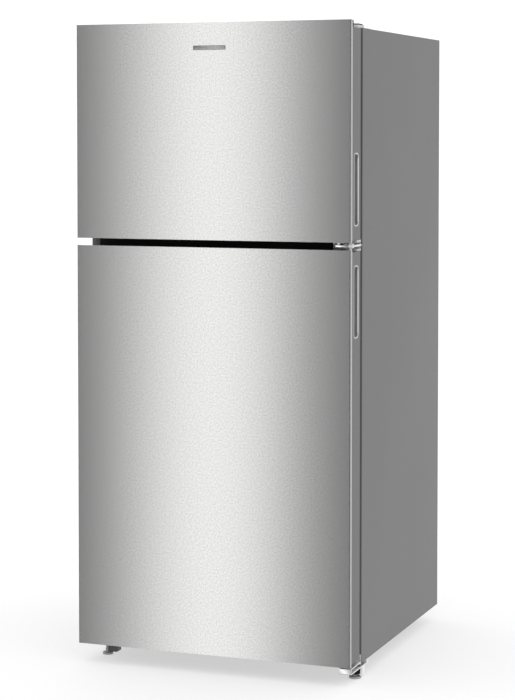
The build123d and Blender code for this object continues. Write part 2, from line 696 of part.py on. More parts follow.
# ---------------------------------------------------------------- freezer inside
COVER_Y = (COIL_FRONT - 12.0, COIL_FRONT - 9.0)
FAN_Z = 1490.0
FAN_R = 52.0
FREEZER_INSIDE = (FREEZER_Z[0] + 1, FREEZER_Z[1] - 1)
with BuildPart() as evaporator_cover:
    slab((-INNER + 1, INNER - 1), COVER_Y, FREEZER_INSIDE)
    fillet(evaporator_cover.edges().filter_by(Axis.Y), 23)
    with BuildSketch(Plane.XZ.offset(-COVER_Y[0] + 1)) as vents:
        with Locations((0, FAN_Z)):
            with GridLocations(1, 13, 1, 7):
                SlotOverall(92, 7)
        with Locations((0, FREEZER_Z[0] + 34)):
            with GridLocations(34, 1, 15, 1):
                SlotOverall(24, 7)
    extrude(amount=-6, mode=Mode.SUBTRACT)

with BuildPart() as evaporator_coil:
    for n in range(21):
        fin_x = -230 + 23.0 * n
        slab((fin_x - 0.6, fin_x + 0.6), (COIL_FRONT, COIL_FRONT + 36), (1168, 1388))
    for row_y in (COIL_FRONT + 10, COIL_FRONT + 26):
        for level in range(6):
            rod((-236, row_y, 1188 + 36.0 * level), (1, 0, 0), 4, 472)

with BuildPart() as evaporator_heater:
    rod((-236, COIL_FRONT + 18, 1156), (1, 0, 0), 5, 472)
group("evaporator_coil", evaporator_coil.part, evaporator_heater.part)

with BuildPart() as fan_motor:
    rod((0, COIL_FRONT + 20, FAN_Z), (0, 1, 0), 24, 24)
    rod((0, COIL_FRONT + 12, FAN_Z), (0, 1, 0), 3, 8)
    slab((-60, 60), (COIL_FRONT + 44, FREEZER_BACK), (FAN_Z - 8, FAN_Z + 8))
finish(fan_motor.part, "fan_motor")

with BuildPart() as fan_blades:
    rod((0, COIL_FRONT - 2, FAN_Z), (0, 1, 0), 14, 20)
    rod((0, COIL_FRONT + 8, FAN_Z), (0, 1, 0), 3 + RUNNING, 12, Mode.SUBTRACT)
    for n in range(5):
        turn = radians(72.0 * n)
        spoke = (cos(turn), 0, sin(turn))
        with BuildSketch(Plane((0, COIL_FRONT + 8, FAN_Z), spoke, (0, -1, 0))) as blade:
            with BuildLine():
                Polyline((12, -3), (FAN_R - 6, -18), (FAN_R, 0), (FAN_R - 8, 16), (12, 5), (12, -3))
            make_face()
        extrude(to_extrude=blade.sketch, amount=1.2, both=True)
finish(fan_blades.part, "fan_blades")

with BuildPart() as airflow_rail:
    slab((-70, 70), (COVER_Y[0] - 8, COVER_Y[0]), (FREEZER_Z[0] + 66, FREEZER_Z[0] + 92))
    slab((-56, 56), (COVER_Y[0] - 9, COVER_Y[0] - 3), (FREEZER_Z[0] + 76, FREEZER_Z[0] + 82), Mode.SUBTRACT)
group("evaporator_cover", evaporator_cover.part, airflow_rail.part)

with BuildPart() as airflow_slider:
    slab((-30, -14), (COVER_Y[0] - 18, COVER_Y[0] - 8.3), (FREEZER_Z[0] + 69, FREEZER_Z[0] + 89))
    slab(
        (-26, -18), (COVER_Y[0] - 8.3, COVER_Y[0] - 3.3), (FREEZER_Z[0] + 76.3, FREEZER_Z[0] + 81.7)
    )
finish(airflow_slider.part, "airflow_slider")

FREEZER_SHELF_Z = 1345.0
with BuildPart() as freezer_shelf:
    slab((-INNER + 2, INNER - 2), (SHELF_FRONT, COVER_Y[0] - 24), (FREEZER_SHELF_Z, FREEZER_SHELF_Z + 4))

with BuildPart() as freezer_shelf_trim:
    slab(
        (-INNER + 2, INNER - 2),
        (SHELF_FRONT - 10, SHELF_FRONT),
        (FREEZER_SHELF_Z - 5, FREEZER_SHELF_Z + 9),
    )
    fillet(freezer_shelf_trim.edges().filter_by(Axis.X).group_by(Axis.Y)[0], 3)

# ---------------------------------------------------------------- fresh food inside
SHELF_HEIGHTS = (560.0, 800.0)
SHELF_BACK = 300.0
with BuildPart() as shelf_supports:
    for sign in (-1, 1):
        ledge_x = sorted((sign * (INNER - 13), sign * INNER))
        for z in SHELF_HEIGHTS:
            slab(ledge_x, (SHELF_FRONT + 15, SHELF_BACK - 10), (z - 9, z))
        freezer_ledge = (SHELF_FRONT + 15, COVER_Y[0] - 34)
        slab(ledge_x, freezer_ledge, (FREEZER_SHELF_Z - 9, FREEZER_SHELF_Z))
        slab(ledge_x, (SHELF_FRONT + 15, STEP_Y - 20), (CRISPER_Z[1] + 9, CRISPER_Z[1] + 18))
finish(shelf_supports.part, "shelf_supports")

with BuildPart() as shelf_glass:
    for z in SHELF_HEIGHTS:
        slab((-INNER + 2, INNER - 2), (SHELF_FRONT, SHELF_BACK), (z, z + 4))

with BuildPart() as shelf_trims:
    for z in SHELF_HEIGHTS:
        slab((-INNER + 2, INNER - 2), (SHELF_FRONT - 10, SHELF_FRONT), (z - 6, z + 10))
        slab((-INNER + 2, INNER - 2), (SHELF_BACK, SHELF_BACK + 10), (z - 6, z + 10))
    fillet(shelf_trims.edges().filter_by(Axis.X).group_by(Axis.Y)[0], 3)

COVER_LOW = CRISPER_Z[1] + 6
with BuildPart() as crisper_cover:
    slab((-INNER + 2, INNER - 2), (SHELF_FRONT, STEP_Y - 16), (COVER_LOW + 12, COVER_LOW + 16))
group("shelf_glass", shelf_glass.part, freezer_shelf.part, crisper_cover.part)

with BuildPart() as crisper_frame:
    slab((-INNER + 2, INNER - 2), (SHELF_FRONT - 10, SHELF_FRONT), (COVER_LOW, COVER_LOW + 20))
with BuildPart() as crisper_divider:
    slab((-4, 4), (SHELF_FRONT, STEP_Y - 16), (FRIDGE_Z[0], COVER_LOW + 12))
trims = (shelf_trims, freezer_shelf_trim, crisper_frame, crisper_divider)
group("shelf_trims", *[trim.part for trim in trims])

CRISPER_FRONT = SHELF_FRONT + 5.0
for side_name, sign in (("left", -1), ("right", 1)):
    near, far = 8.0, INNER - 5.0
    drawer_x = sorted((sign * near, sign * far))
    with BuildPart() as crisper:
        add(tray(drawer_x, (CRISPER_FRONT, STEP_Y - 10), CRISPER_Z, BIN_WALL, 12))
        slab(
            (drawer_x[0] + 60, drawer_x[1] - 60),
            (CRISPER_FRONT - 12, CRISPER_FRONT + 1),
            (CRISPER_Z[1] - 22, CRISPER_Z[1] - 4),
        )
        slab(
            (drawer_x[0] + 64, drawer_x[1] - 64),
            (CRISPER_FRONT - 9, CRISPER_FRONT - 1),
            (CRISPER_Z[1] - 23, CRISPER_Z[1] - 8),
            Mode.SUBTRACT,
        )
    finish(crisper.part, f"{side_name}_crisper")

with BuildPart() as air_duct:
    slab((-70, 70), (FRIDGE_BACK - 16, FRIDGE_BACK), (STEP_Z + 24, FRIDGE_Z[1] - 20))
    fillet(air_duct.edges().filter_by(Axis.Z).group_by(Axis.Y)[0], 8)
    with BuildSketch(Plane.XZ.offset(-FRIDGE_BACK + 17)) as outlets:
        for z in (470, 700, 900):
            with Locations((0, z)):
                with GridLocations(1, 14, 1, 3):
                    SlotOverall(80, 7)
    extrude(amount=-8, mode=Mode.SUBTRACT)
finish(air_duct.part, "air_duct")

HOUSING_Z = (1040.0, FRIDGE_Z[1])
KNOB = (-60.0, -200.0, 1057.0)
with BuildPart() as control_housing:
    slab((-130, 130), (-200, 20), HOUSING_Z)
    fillet(control_housing.edges().filter_by(Axis.Z), 12)
    slab((-20, 110), (-190, -60), (HOUSING_Z[0] - 1, HOUSING_Z[0] + 6), Mode.SUBTRACT)
    rod((KNOB[0], KNOB[1] - 1, KNOB[2]), (0, 1, 0), 4 + RUNNING, 15, Mode.SUBTRACT)

with BuildPart() as light_lens:
    slab((-19.5, 109.5), (-189.5, -60.5), (HOUSING_Z[0] - 4, HOUSING_Z[0] + 6))
    fillet(light_lens.faces().sort_by(Axis.Z)[0].edges(), 3)
finish(light_lens.part, "light_lens")

with BuildPart() as temperature_knob:
    rod((KNOB[0], KNOB[1] - 0.4, KNOB[2]), (0, -1, 0), 14, 10)
    rod((KNOB[0], KNOB[1] + 10, KNOB[2]), (0, -1, 0), 4, 10.4)
    slab((KNOB[0] - 2.5, KNOB[0] + 2.5), (KNOB[1] - 15, KNOB[1] - 10.4), (KNOB[2] - 13, KNOB[2] + 13))
finish(temperature_knob.part, "temperature_knob")

SWITCH_X = -250.0
SWITCH_Z = FRIDGE_Z[1] - 26.0
DYKE_BACK = DOOR_BACK + 34.0
with BuildPart() as door_switch:
    slab((SWITCH_X - 12, SWITCH_X + 12), (DYKE_BACK + 10, DYKE_BACK + 46), (SWITCH_Z - 10, FRIDGE_Z[1]))
    rod((SWITCH_X, DYKE_BACK + 9, SWITCH_Z), (0, 1, 0), 4 + RUNNING, 28, Mode.SUBTRACT)
group("control_housing", control_housing.part, door_switch.part)

with BuildPart() as switch_plunger:
    rod((SWITCH_X, DYKE_BACK + 0.6, SWITCH_Z), (0, 1, 0), 4, 30)
    fillet(switch_plunger.edges().sort_by(Axis.Y)[0], 2)
finish(switch_plunger.part, "switch_plunger")

# ---------------------------------------------------------------- machine compartment
COMPRESSOR = (190.0, 285.0)
CAN_R = 78.0
with BuildPart() as compressor:
    rod((*COMPRESSOR, 84), (0, 0, 1), CAN_R, 130)
    fillet(compressor.edges().sort_by(Axis.Z)[-1], 46)
    chamfer(compressor.edges().sort_by(Axis.Z)[0], 14)
    slab(
        (COMPRESSOR[0] - 100, COMPRESSOR[0] + 100),
        (COMPRESSOR[1] - 58, COMPRESSOR[1] + 58),
        (80, 86),
    )
    with Locations((*COMPRESSOR, 86)):
        with GridLocations(172, 86, 2, 2):
            Hole(8, 6)
finish(compressor.part, "compressor")

with BuildPart() as compressor_mounts:
    for x in (COMPRESSOR[0] - 86, COMPRESSOR[0] + 86):
        for y in (COMPRESSOR[1] - 43, COMPRESSOR[1] + 43):
            rod((x, y, TRAY_Z + 2), (0, 0, 1), 12, 80 - TRAY_Z - 2)
            rod((x, y, TRAY_Z + 2), (0, 0, 1), 7, 32)
finish(compressor_mounts.part, "compressor_mounts")

finish(tray((-280, 40), (195, 375), (TRAY_Z + 2, TRAY_Z + 46), MOULDED, 14), "drain_pan")

PIPE_R = 3.5
with BuildPart() as refrigerant_lines:
    with BuildLine() as discharge:
        FilletPolyline(
            (COMPRESSOR[0] + CAN_R, COMPRESSOR[1], 130),
            (COMPRESSOR[0] + 120, COMPRESSOR[1], 130),
            (COMPRESSOR[0] + 120, COMPRESSOR[1] + 60, 130),
            (COMPRESSOR[0] + 120, COMPRESSOR[1] + 60, 250),
            (-300, COMPRESSOR[1] + 60, 250),
            (-300, COMPRESSOR[1] + 60, 120),
            radius=18,
        )
    with BuildSketch(Plane(origin=discharge.line @ 0, z_dir=discharge.line % 0)):
        Circle(PIPE_R)
    sweep()

with BuildPart() as filter_drier:
    rod((-300, COMPRESSOR[1] + 60, 120), (0, 0, -1), 10, 52)
group("refrigerant_lines", refrigerant_lines.part, filter_drier.part)
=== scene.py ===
"""Looks and small parts of a top freezer refrigerator, built round its CAD frame."""

import logging
import math
from collections.abc import Callable, Iterable
from dataclasses import dataclass
from enum import Enum

import bmesh
import bpy
from mathutils import Matrix, Vector


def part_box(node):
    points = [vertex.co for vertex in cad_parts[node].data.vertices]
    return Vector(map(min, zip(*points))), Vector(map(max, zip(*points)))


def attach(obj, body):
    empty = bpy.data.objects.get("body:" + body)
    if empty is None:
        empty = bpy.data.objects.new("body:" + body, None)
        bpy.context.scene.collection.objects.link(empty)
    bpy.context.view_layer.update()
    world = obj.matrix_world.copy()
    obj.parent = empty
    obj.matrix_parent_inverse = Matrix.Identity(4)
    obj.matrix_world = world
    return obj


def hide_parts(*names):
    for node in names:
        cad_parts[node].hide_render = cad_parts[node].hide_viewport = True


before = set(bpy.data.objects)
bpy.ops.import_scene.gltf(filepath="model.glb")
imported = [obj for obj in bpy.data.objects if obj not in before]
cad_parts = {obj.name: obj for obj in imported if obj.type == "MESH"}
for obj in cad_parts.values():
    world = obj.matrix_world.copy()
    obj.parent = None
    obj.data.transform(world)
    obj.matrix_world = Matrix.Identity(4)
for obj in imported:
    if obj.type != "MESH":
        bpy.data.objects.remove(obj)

logging.basicConfig(level=logging.INFO, format="%(message)s")
LOG = logging.getLogger("refrigerator")
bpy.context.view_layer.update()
MM = 0.001
Colour = tuple[float, float, float]
Place = tuple[float, float, float]


class Body(Enum):
    """The moving groups that pieces ride on."""

    CABINET = "cabinet"
    FREEZER_DOOR = "freezer_door"
    FRIDGE_DOOR = "fridge_door"
    LID = "dairy_lid"
    LEFT_CRISPER = "left_crisper"
    RIGHT_CRISPER = "right_crisper"
    LEFT_FOOT = "left_foot"
    RIGHT_FOOT = "right_foot"
    LEFT_ROLLER = "left_roller"
    RIGHT_ROLLER = "right_roller"
    KNOB = "temperature_knob"
    FAN = "fan"
    SLIDER = "airflow_slider"
    PLUNGER = "switch_plunger"


class Axis(Enum):
    """A direction of the model as a unit vector."""

    X = (1.0, 0.0, 0.0)
    Y = (0.0, 1.0, 0.0)
    Z = (0.0, 0.0, 1.0)


# ---------------------------------------------------------------- shader building


class Pick(Enum):
    """What is selected in edit mode, with its name on a mesh."""

    FACE = "faces"
    VERT = "verts"
    EDGE = "edges"


class Shader:
    """A material under construction, with short methods that add its nodes."""

    def __init__(self, name: str) -> None:
        """Makes a material with one principled shader.

        Args:
            name: The finish's name.
        """
        self.material = bpy.data.materials.new(name)
        self.material.use_nodes = True
        self.tree = self.material.node_tree
        self.shader = self.tree.nodes["Principled BSDF"]

    def node(self, kind: str, **settings: object) -> bpy.types.Node:
        """Adds a node and sets its properties.

        Args:
            kind: The node's type name.
            settings: Property names and their values.

        Returns:
            The new node.
        """
        made = self.tree.nodes.new(kind)
        for key, value in settings.items():
            setattr(made, key, value)
        return made

    def link(self, source: bpy.types.NodeSocket, target: bpy.types.NodeSocket) -> None:
        """Joins two sockets."""
        self.tree.links.new(source, target)

    def set(self, **values: object) -> None:
        """Sets the principled shader's own sockets.

        Args:
            values: Socket names, with _ for a space, and their values.
        """
        for key, value in values.items():
            self.shader.inputs[key.replace("_", " ")].default_value = value

    def place(self, scale: Place) -> bpy.types.NodeSocket:
        """Object coordinates, scaled.

        Args:
            scale: The scale along each axis.

        Returns:
            The socket that gives the scaled place.
        """
        here = self.node("ShaderNodeTexCoord")
        sized = self.node("ShaderNodeMapping")
        sized.inputs["Scale"].default_value = scale
        self.link(here.outputs["Object"], sized.inputs["Vector"])
        return sized.outputs["Vector"]

    def noise(self, scale: Place, detail: float = 3.0, rough: float = 0.6) -> bpy.types.NodeSocket:
        """Noise over the object's own coordinates.

        Args:
            scale: Cells per metre along each axis.
            detail: Octaves.
            rough: Strength of the fine octaves.

        Returns:
            The noise value's socket.
        """
        made = self.node("ShaderNodeTexNoise")
        made.inputs["Scale"].default_value = 1.0
        made.inputs["Detail"].default_value = detail
        made.inputs["Roughness"].default_value = rough
        self.link(self.place(scale), made.inputs["Vector"])
        return made.outputs["Fac"]

    def ramp(
        self, value: bpy.types.NodeSocket, low: float, high: float, start: float, end: float
    ) -> bpy.types.NodeSocket:
        """Maps a value from one range to another.

        Args:
            value: The socket to map.
            low: The value that gives start.
            high: The value that gives end.
            start: The result at low.
            end: The result at high.

        Returns:
            The mapped value's socket.
        """
        made = self.node("ShaderNodeMapRange")
        for key, number in zip(("From Min", "From Max", "To Min", "To Max"), (low, high, start, end)):
            made.inputs[key].default_value = number
        self.link(value, made.inputs["Value"])
        return made.outputs["Result"]

    def blend(self, value: bpy.types.NodeSocket, first: Colour, second: Colour) -> bpy.types.NodeSocket:
        """Mixes two colours by a value.

        Args:
            value: 0 gives the first colour and 1 the second.
            first: The first colour.
            second: The second colour.

        Returns:
            The mixed colour's socket.
        """
        made = self.node("ShaderNodeValToRGB")
        made.color_ramp.elements[0].color = (*first, 1.0)
        made.color_ramp.elements[1].color = (*second, 1.0)
        self.link(value, made.inputs["Fac"])
        return made.outputs["Color"]

    def bump(self, height: bpy.types.NodeSocket, strength: float, distance: float) -> None:
        """Raises the surface by a height.

        Args:
            height: The height's socket.
            strength: 0 to 1.
            distance: The full height in metres.
        """
        made = self.node("ShaderNodeBump")
        made.inputs["Strength"].default_value = strength
        made.inputs["Distance"].default_value = distance
        self.link(height, made.inputs["Height"])
        self.link(made.outputs["Normal"], self.shader.inputs["Normal"])

    def edge_highlight(self, colour: bpy.types.NodeSocket, edge_light: Colour, amount: float) -> bpy.types.NodeSocket:
        """Lightens or darkens sharp edges by the surface's pointiness; as used it lightens them, a painted
        highlight where edges catch the light.

        Args:
            colour: The base colour's socket.
            edge_light: The lighter colour painted on a sharp edge as a highlight.
            amount: The most of that lighter colour.

        Returns:
            The colour's socket.
        """
        shape = self.node("ShaderNodeNewGeometry")
        edge = self.ramp(shape.outputs["Pointiness"], 0.52, 0.62, 0.0, amount)
        mix = self.node("ShaderNodeMix", data_type="RGBA")
        sockets = {socket.identifier: socket for socket in (*mix.inputs, *mix.outputs)}
        self.link(edge, sockets["Factor_Float"])
        self.link(colour, sockets["A_Color"])
        sockets["B_Color"].default_value = (*edge_light, 1.0)
        return sockets["Result_Color"]

    def mean(
        self, first: bpy.types.NodeSocket, second: bpy.types.NodeSocket, share: float
    ) -> bpy.types.NodeSocket:
        """Blends two values.

        Args:
            first: The first value.
            second: The second value.
            share: The second value's share.

        Returns:
            The blended value's socket.
        """
        mix = self.node("ShaderNodeMix")
        sockets = {socket.identifier: socket for socket in (*mix.inputs, *mix.outputs)}
        sockets["Factor_Float"].default_value = share
        self.link(first, sockets["A_Float"])
        self.link(second, sockets["B_Float"])
        return sockets["Result_Float"]


@dataclass(frozen=True)
class BrushedSteel:
    """Steel sheet with a fine short grain and soft mottling."""

    name: str
    light: Colour = (0.640, 0.640, 0.636)
    dark: Colour = (0.548, 0.548, 0.544)
    roughness: float = 0.22
    grain: Place = (700.0, 700.0, 1400.0)

    def make(self) -> bpy.types.Material:
        """Builds the material.

        Returns:
            The finished material.
        """
        work = Shader(self.name)
        work.set(Metallic=1.0)
        strokes = work.noise(self.grain, 4.0, 0.75)
        mottle = work.noise((230.0, 230.0, 230.0), 2.0, 0.6)
        level = work.ramp(work.mean(strokes, mottle, 0.7), 0.38, 0.62, 0.0, 1.0)
        colour = work.blend(level, self.dark, self.light)
        work.link(colour, work.shader.inputs["Base Color"])
        rough = work.ramp(level, 0.0, 1.0, self.roughness + 0.015, self.roughness - 0.012)
        work.link(rough, work.shader.inputs["Roughness"])
        work.bump(strokes, 0.06, 0.00003)
        return work.material


@dataclass(frozen=True)
class Painted:
    """Baked enamel on sheet steel, with a fine orange peel and a painted highlight on its sharp edges."""

    name: str
    light: Colour
    dark: Colour
    roughness: float = 0.42
    peel: float = 900.0
    height: float = 0.00005
    # The lighter colour painted on sharp edges as a highlight, and its most share.
    edge_light: Colour = (0.5, 0.5, 0.5)
    edge_light_share: float = 0.15

    def make(self) -> bpy.types.Material:
        """Builds the material.

        Returns:
            The finished material.
        """
        work = Shader(self.name)
        cloud = work.noise((3.0, 3.0, 2.0), 2.0, 0.5)
        fine = work.noise((self.peel,) * 3, 2.0, 0.5)
        colour = work.blend(work.ramp(cloud, 0.3, 0.7, 0.0, 1.0), self.dark, self.light)
        # Sharp edges get the lighter colour mixed in: a painted highlight.
        work.link(work.edge_highlight(colour, self.edge_light, self.edge_light_share), work.shader.inputs["Base Color"])
        rough = work.ramp(fine, 0.3, 0.7, self.roughness - 0.05, self.roughness + 0.07)
        work.link(rough, work.shader.inputs["Roughness"])
        work.bump(fine, 0.25, self.height)
        return work.material


@dataclass(frozen=True)
class Moulded:
    """Moulded plastic or rubber with a fine grain and faint handling marks."""

    name: str
    light: Colour
    dark: Colour
    roughness: float = 0.4
    grain: float = 1400.0
    height: float = 0.00003
    clear: float = 0.0
    coat: float = 0.0
    gloss: float = 0.5

    def make(self) -> bpy.types.Material:
        """Builds the material.

        Returns:
            The finished material.
        """
        work = Shader(self.name)
        work.set(Coat_Weight=self.coat, Coat_Roughness=0.12, IOR=1.49, Specular_IOR_Level=self.gloss)
        cloud = work.noise((14.0, 14.0, 14.0), 3.0, 0.55)
        fine = work.noise((self.grain,) * 3, 2.0, 0.5)
        colour = work.blend(work.ramp(cloud, 0.3, 0.7, 0.0, 1.0), self.dark, self.light)
        work.link(colour, work.shader.inputs["Base Color"])
        rough = work.ramp(cloud, 0.3, 0.7, self.roughness - 0.04, self.roughness + 0.06)
        work.link(rough, work.shader.inputs["Roughness"])
        if self.clear:
            work.set(Transmission_Weight=self.clear, Alpha=1.0)
        work.bump(fine, 0.2, self.height)
        return work.material


@dataclass(frozen=True)
class Plated:
    """Chrome, zinc, copper or bare metal with faint rubbing marks."""

    name: str
    light: Colour
    dark: Colour
    roughness: float = 0.12
    marks: float = 60.0
    spread: float = 0.06
    metal: float = 1.0

    def make(self) -> bpy.types.Material:
        """Builds the material.

        Returns:
            The finished material.
        """
        work = Shader(self.name)
        work.set(Metallic=self.metal)
        cloud = work.noise((self.marks,) * 3, 4.0, 0.65)
        level = work.ramp(cloud, 0.35, 0.65, 0.0, 1.0)
        work.link(work.blend(level, self.dark, self.light), work.shader.inputs["Base Color"])
        rough = work.ramp(level, 0.0, 1.0, self.roughness + self.spread, self.roughness)
        work.link(rough, work.shader.inputs["Roughness"])
        work.bump(cloud, 0.08, 0.00004)
        return work.material


@dataclass(frozen=True)
class Spangled:
    """Zinc-coated sheet with a crystal spangle."""

    name: str = "zinc_sheet"
    light: Colour = (0.57, 0.58, 0.59)
    dark: Colour = (0.49, 0.50, 0.51)

    def make(self) -> bpy.types.Material:
        """Builds the material.

        Returns:
            The finished material.
        """
        work = Shader(self.name)
        work.set(Metallic=0.9)
        cells = work.node("ShaderNodeTexVoronoi")
        cells.inputs["Scale"].default_value = 1.0
        work.link(work.place((110.0, 110.0, 110.0)), cells.inputs["Vector"])
        tone = work.node("ShaderNodeSeparateColor")
        work.link(cells.outputs["Color"], tone.inputs["Color"])
        level = tone.outputs["Red"]
        work.link(work.blend(level, self.dark, self.light), work.shader.inputs["Base Color"])
        work.link(work.ramp(level, 0.0, 1.0, 0.36, 0.52), work.shader.inputs["Roughness"])
        work.bump(work.noise((30.0, 30.0, 30.0)), 0.1, 0.0002)
        return work.material


@dataclass(frozen=True)
class SheetGlass:
    """Toughened shelf glass with a green tint and faint smears."""

    name: str = "toughened_glass"
    tint: Colour = (0.86, 0.95, 0.93)

    def make(self) -> bpy.types.Material:
        """Builds the material.

        Returns:
            The finished material.
        """
        work = Shader(self.name)
        work.set(Transmission_Weight=0.94, IOR=1.45)
        smear = work.noise((9.0, 5.0, 9.0), 4.0, 0.6)
        level = work.ramp(smear, 0.35, 0.65, 0.0, 1.0)
        work.link(work.blend(level, (0.80, 0.92, 0.89), self.tint), work.shader.inputs["Base Color"])
        work.link(work.ramp(level, 0.0, 1.0, 0.10, 0.02), work.shader.inputs["Roughness"])
        return work.material


@dataclass(frozen=True)
class Foam:
    """Expanded insulation, cream and open-celled."""

    name: str = "insulation_foam"

    def make(self) -> bpy.types.Material:
        """Builds the material.

        Returns:
            The finished material.
        """
        work = Shader(self.name)
        cells = work.noise((420.0, 420.0, 420.0), 4.0, 0.7)
        colour = work.blend(cells, (0.62, 0.52, 0.30), (0.80, 0.72, 0.48))
        work.link(colour, work.shader.inputs["Base Color"])
        work.set(Roughness=0.9)
        work.bump(cells, 0.6, 0.0006)
        return work.material


class Finishes:
    """Every material of the refrigerator, made once."""

    def __init__(self) -> None:
        """Builds all the materials."""
        white, cream = (0.80, 0.81, 0.81), (0.76, 0.77, 0.77)
        made = (
            BrushedSteel("door_steel"),
            BrushedSteel("badge_aluminium", (0.40, 0.40, 0.40), (0.34, 0.34, 0.34), 0.28),
            Painted("cabinet_grey", (0.092, 0.093, 0.095), (0.084, 0.085, 0.087)),
            # Dark sheet; as the strip round the cabinet's face it is painted shade for the dark seam round
            # the doors.
            Painted("dark_sheet", (0.05, 0.05, 0.052), (0.035, 0.035, 0.037), 0.5),
            Painted("compressor_black", (0.018, 0.018, 0.018), (0.010, 0.010, 0.010), 0.28, 300.0),
            Moulded("liner_white", white, cream, 0.22, coat=0.3),
            Moulded("part_white", (0.84, 0.84, 0.835), (0.79, 0.79, 0.785), 0.34),
            # Near-black plastic; on the door end caps it is also painted shade for the dark gap between the
            # doors.
            Moulded("dark_plastic", (0.016, 0.016, 0.017), (0.010, 0.010, 0.011), 0.6, gloss=0.12),
            # On the door grips this grey is lifted so that their recesses, which lie in shade, look as
            # light as the cabinet's side: painted light. On the knob, slider, marks and dial numbers it is
            # their own grey.
            Moulded("grip_grey", (0.34, 0.342, 0.345), (0.30, 0.302, 0.305), 0.40),
            Moulded("cap_grey", (0.26, 0.262, 0.265), (0.22, 0.222, 0.225), 0.42),
            Moulded("tab_grey", (0.52, 0.52, 0.52), (0.44, 0.44, 0.44), 0.42),
            # Pale grey: the crisper strips' own colour, and on the door grips' rims a painted highlight.
            Moulded("rim_grey", (0.62, 0.62, 0.62), (0.56, 0.56, 0.56), 0.35),
            Moulded("foot_grey", (0.42, 0.42, 0.415), (0.34, 0.34, 0.335), 0.5),
            Moulded("seal_grey", (0.060, 0.060, 0.062), (0.045, 0.045, 0.047), 0.6),
            Moulded("clear_plastic", (0.93, 0.97, 0.98), (0.88, 0.94, 0.96), 0.10, clear=0.9),
            Moulded("frosted_lens", (0.95, 0.95, 0.93), (0.90, 0.90, 0.88), 0.45, clear=0.35),
            Moulded("black_rubber", (0.020, 0.020, 0.020), (0.012, 0.012, 0.012), 0.7),
            Plated("nickel", (0.90, 0.90, 0.90), (0.80, 0.80, 0.80), 0.16, metal=0.55),
            Plated("hinge_plate", (0.66, 0.66, 0.66), (0.56, 0.56, 0.56), 0.35, metal=0.15),
            Plated("satin_steel", (0.62, 0.62, 0.63), (0.50, 0.50, 0.51), 0.28),
            Plated("fin_aluminium", (0.74, 0.74, 0.75), (0.60, 0.60, 0.61), 0.32),
            Plated("copper", (0.80, 0.44, 0.28), (0.56, 0.28, 0.17), 0.26),
            Spangled(),
            SheetGlass(),
            Foam(),
        )
        self.by_name = {finish.name: finish.make() for finish in made}

    def dress(self, piece: bpy.types.Object, name: str) -> None:
        """Gives every slot of a piece one finish."""
        piece.data.materials.clear()
        piece.data.materials.append(self.by_name[name])

    def dress_node(self, node: str, name: str) -> None:
        """Gives a CAD node a finish through its object's slots, its mesh untouched."""
        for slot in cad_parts[node].material_slots:
            slot.link = "OBJECT"
            slot.material = self.by_name[name]


# ---------------------------------------------------------------- mesh building


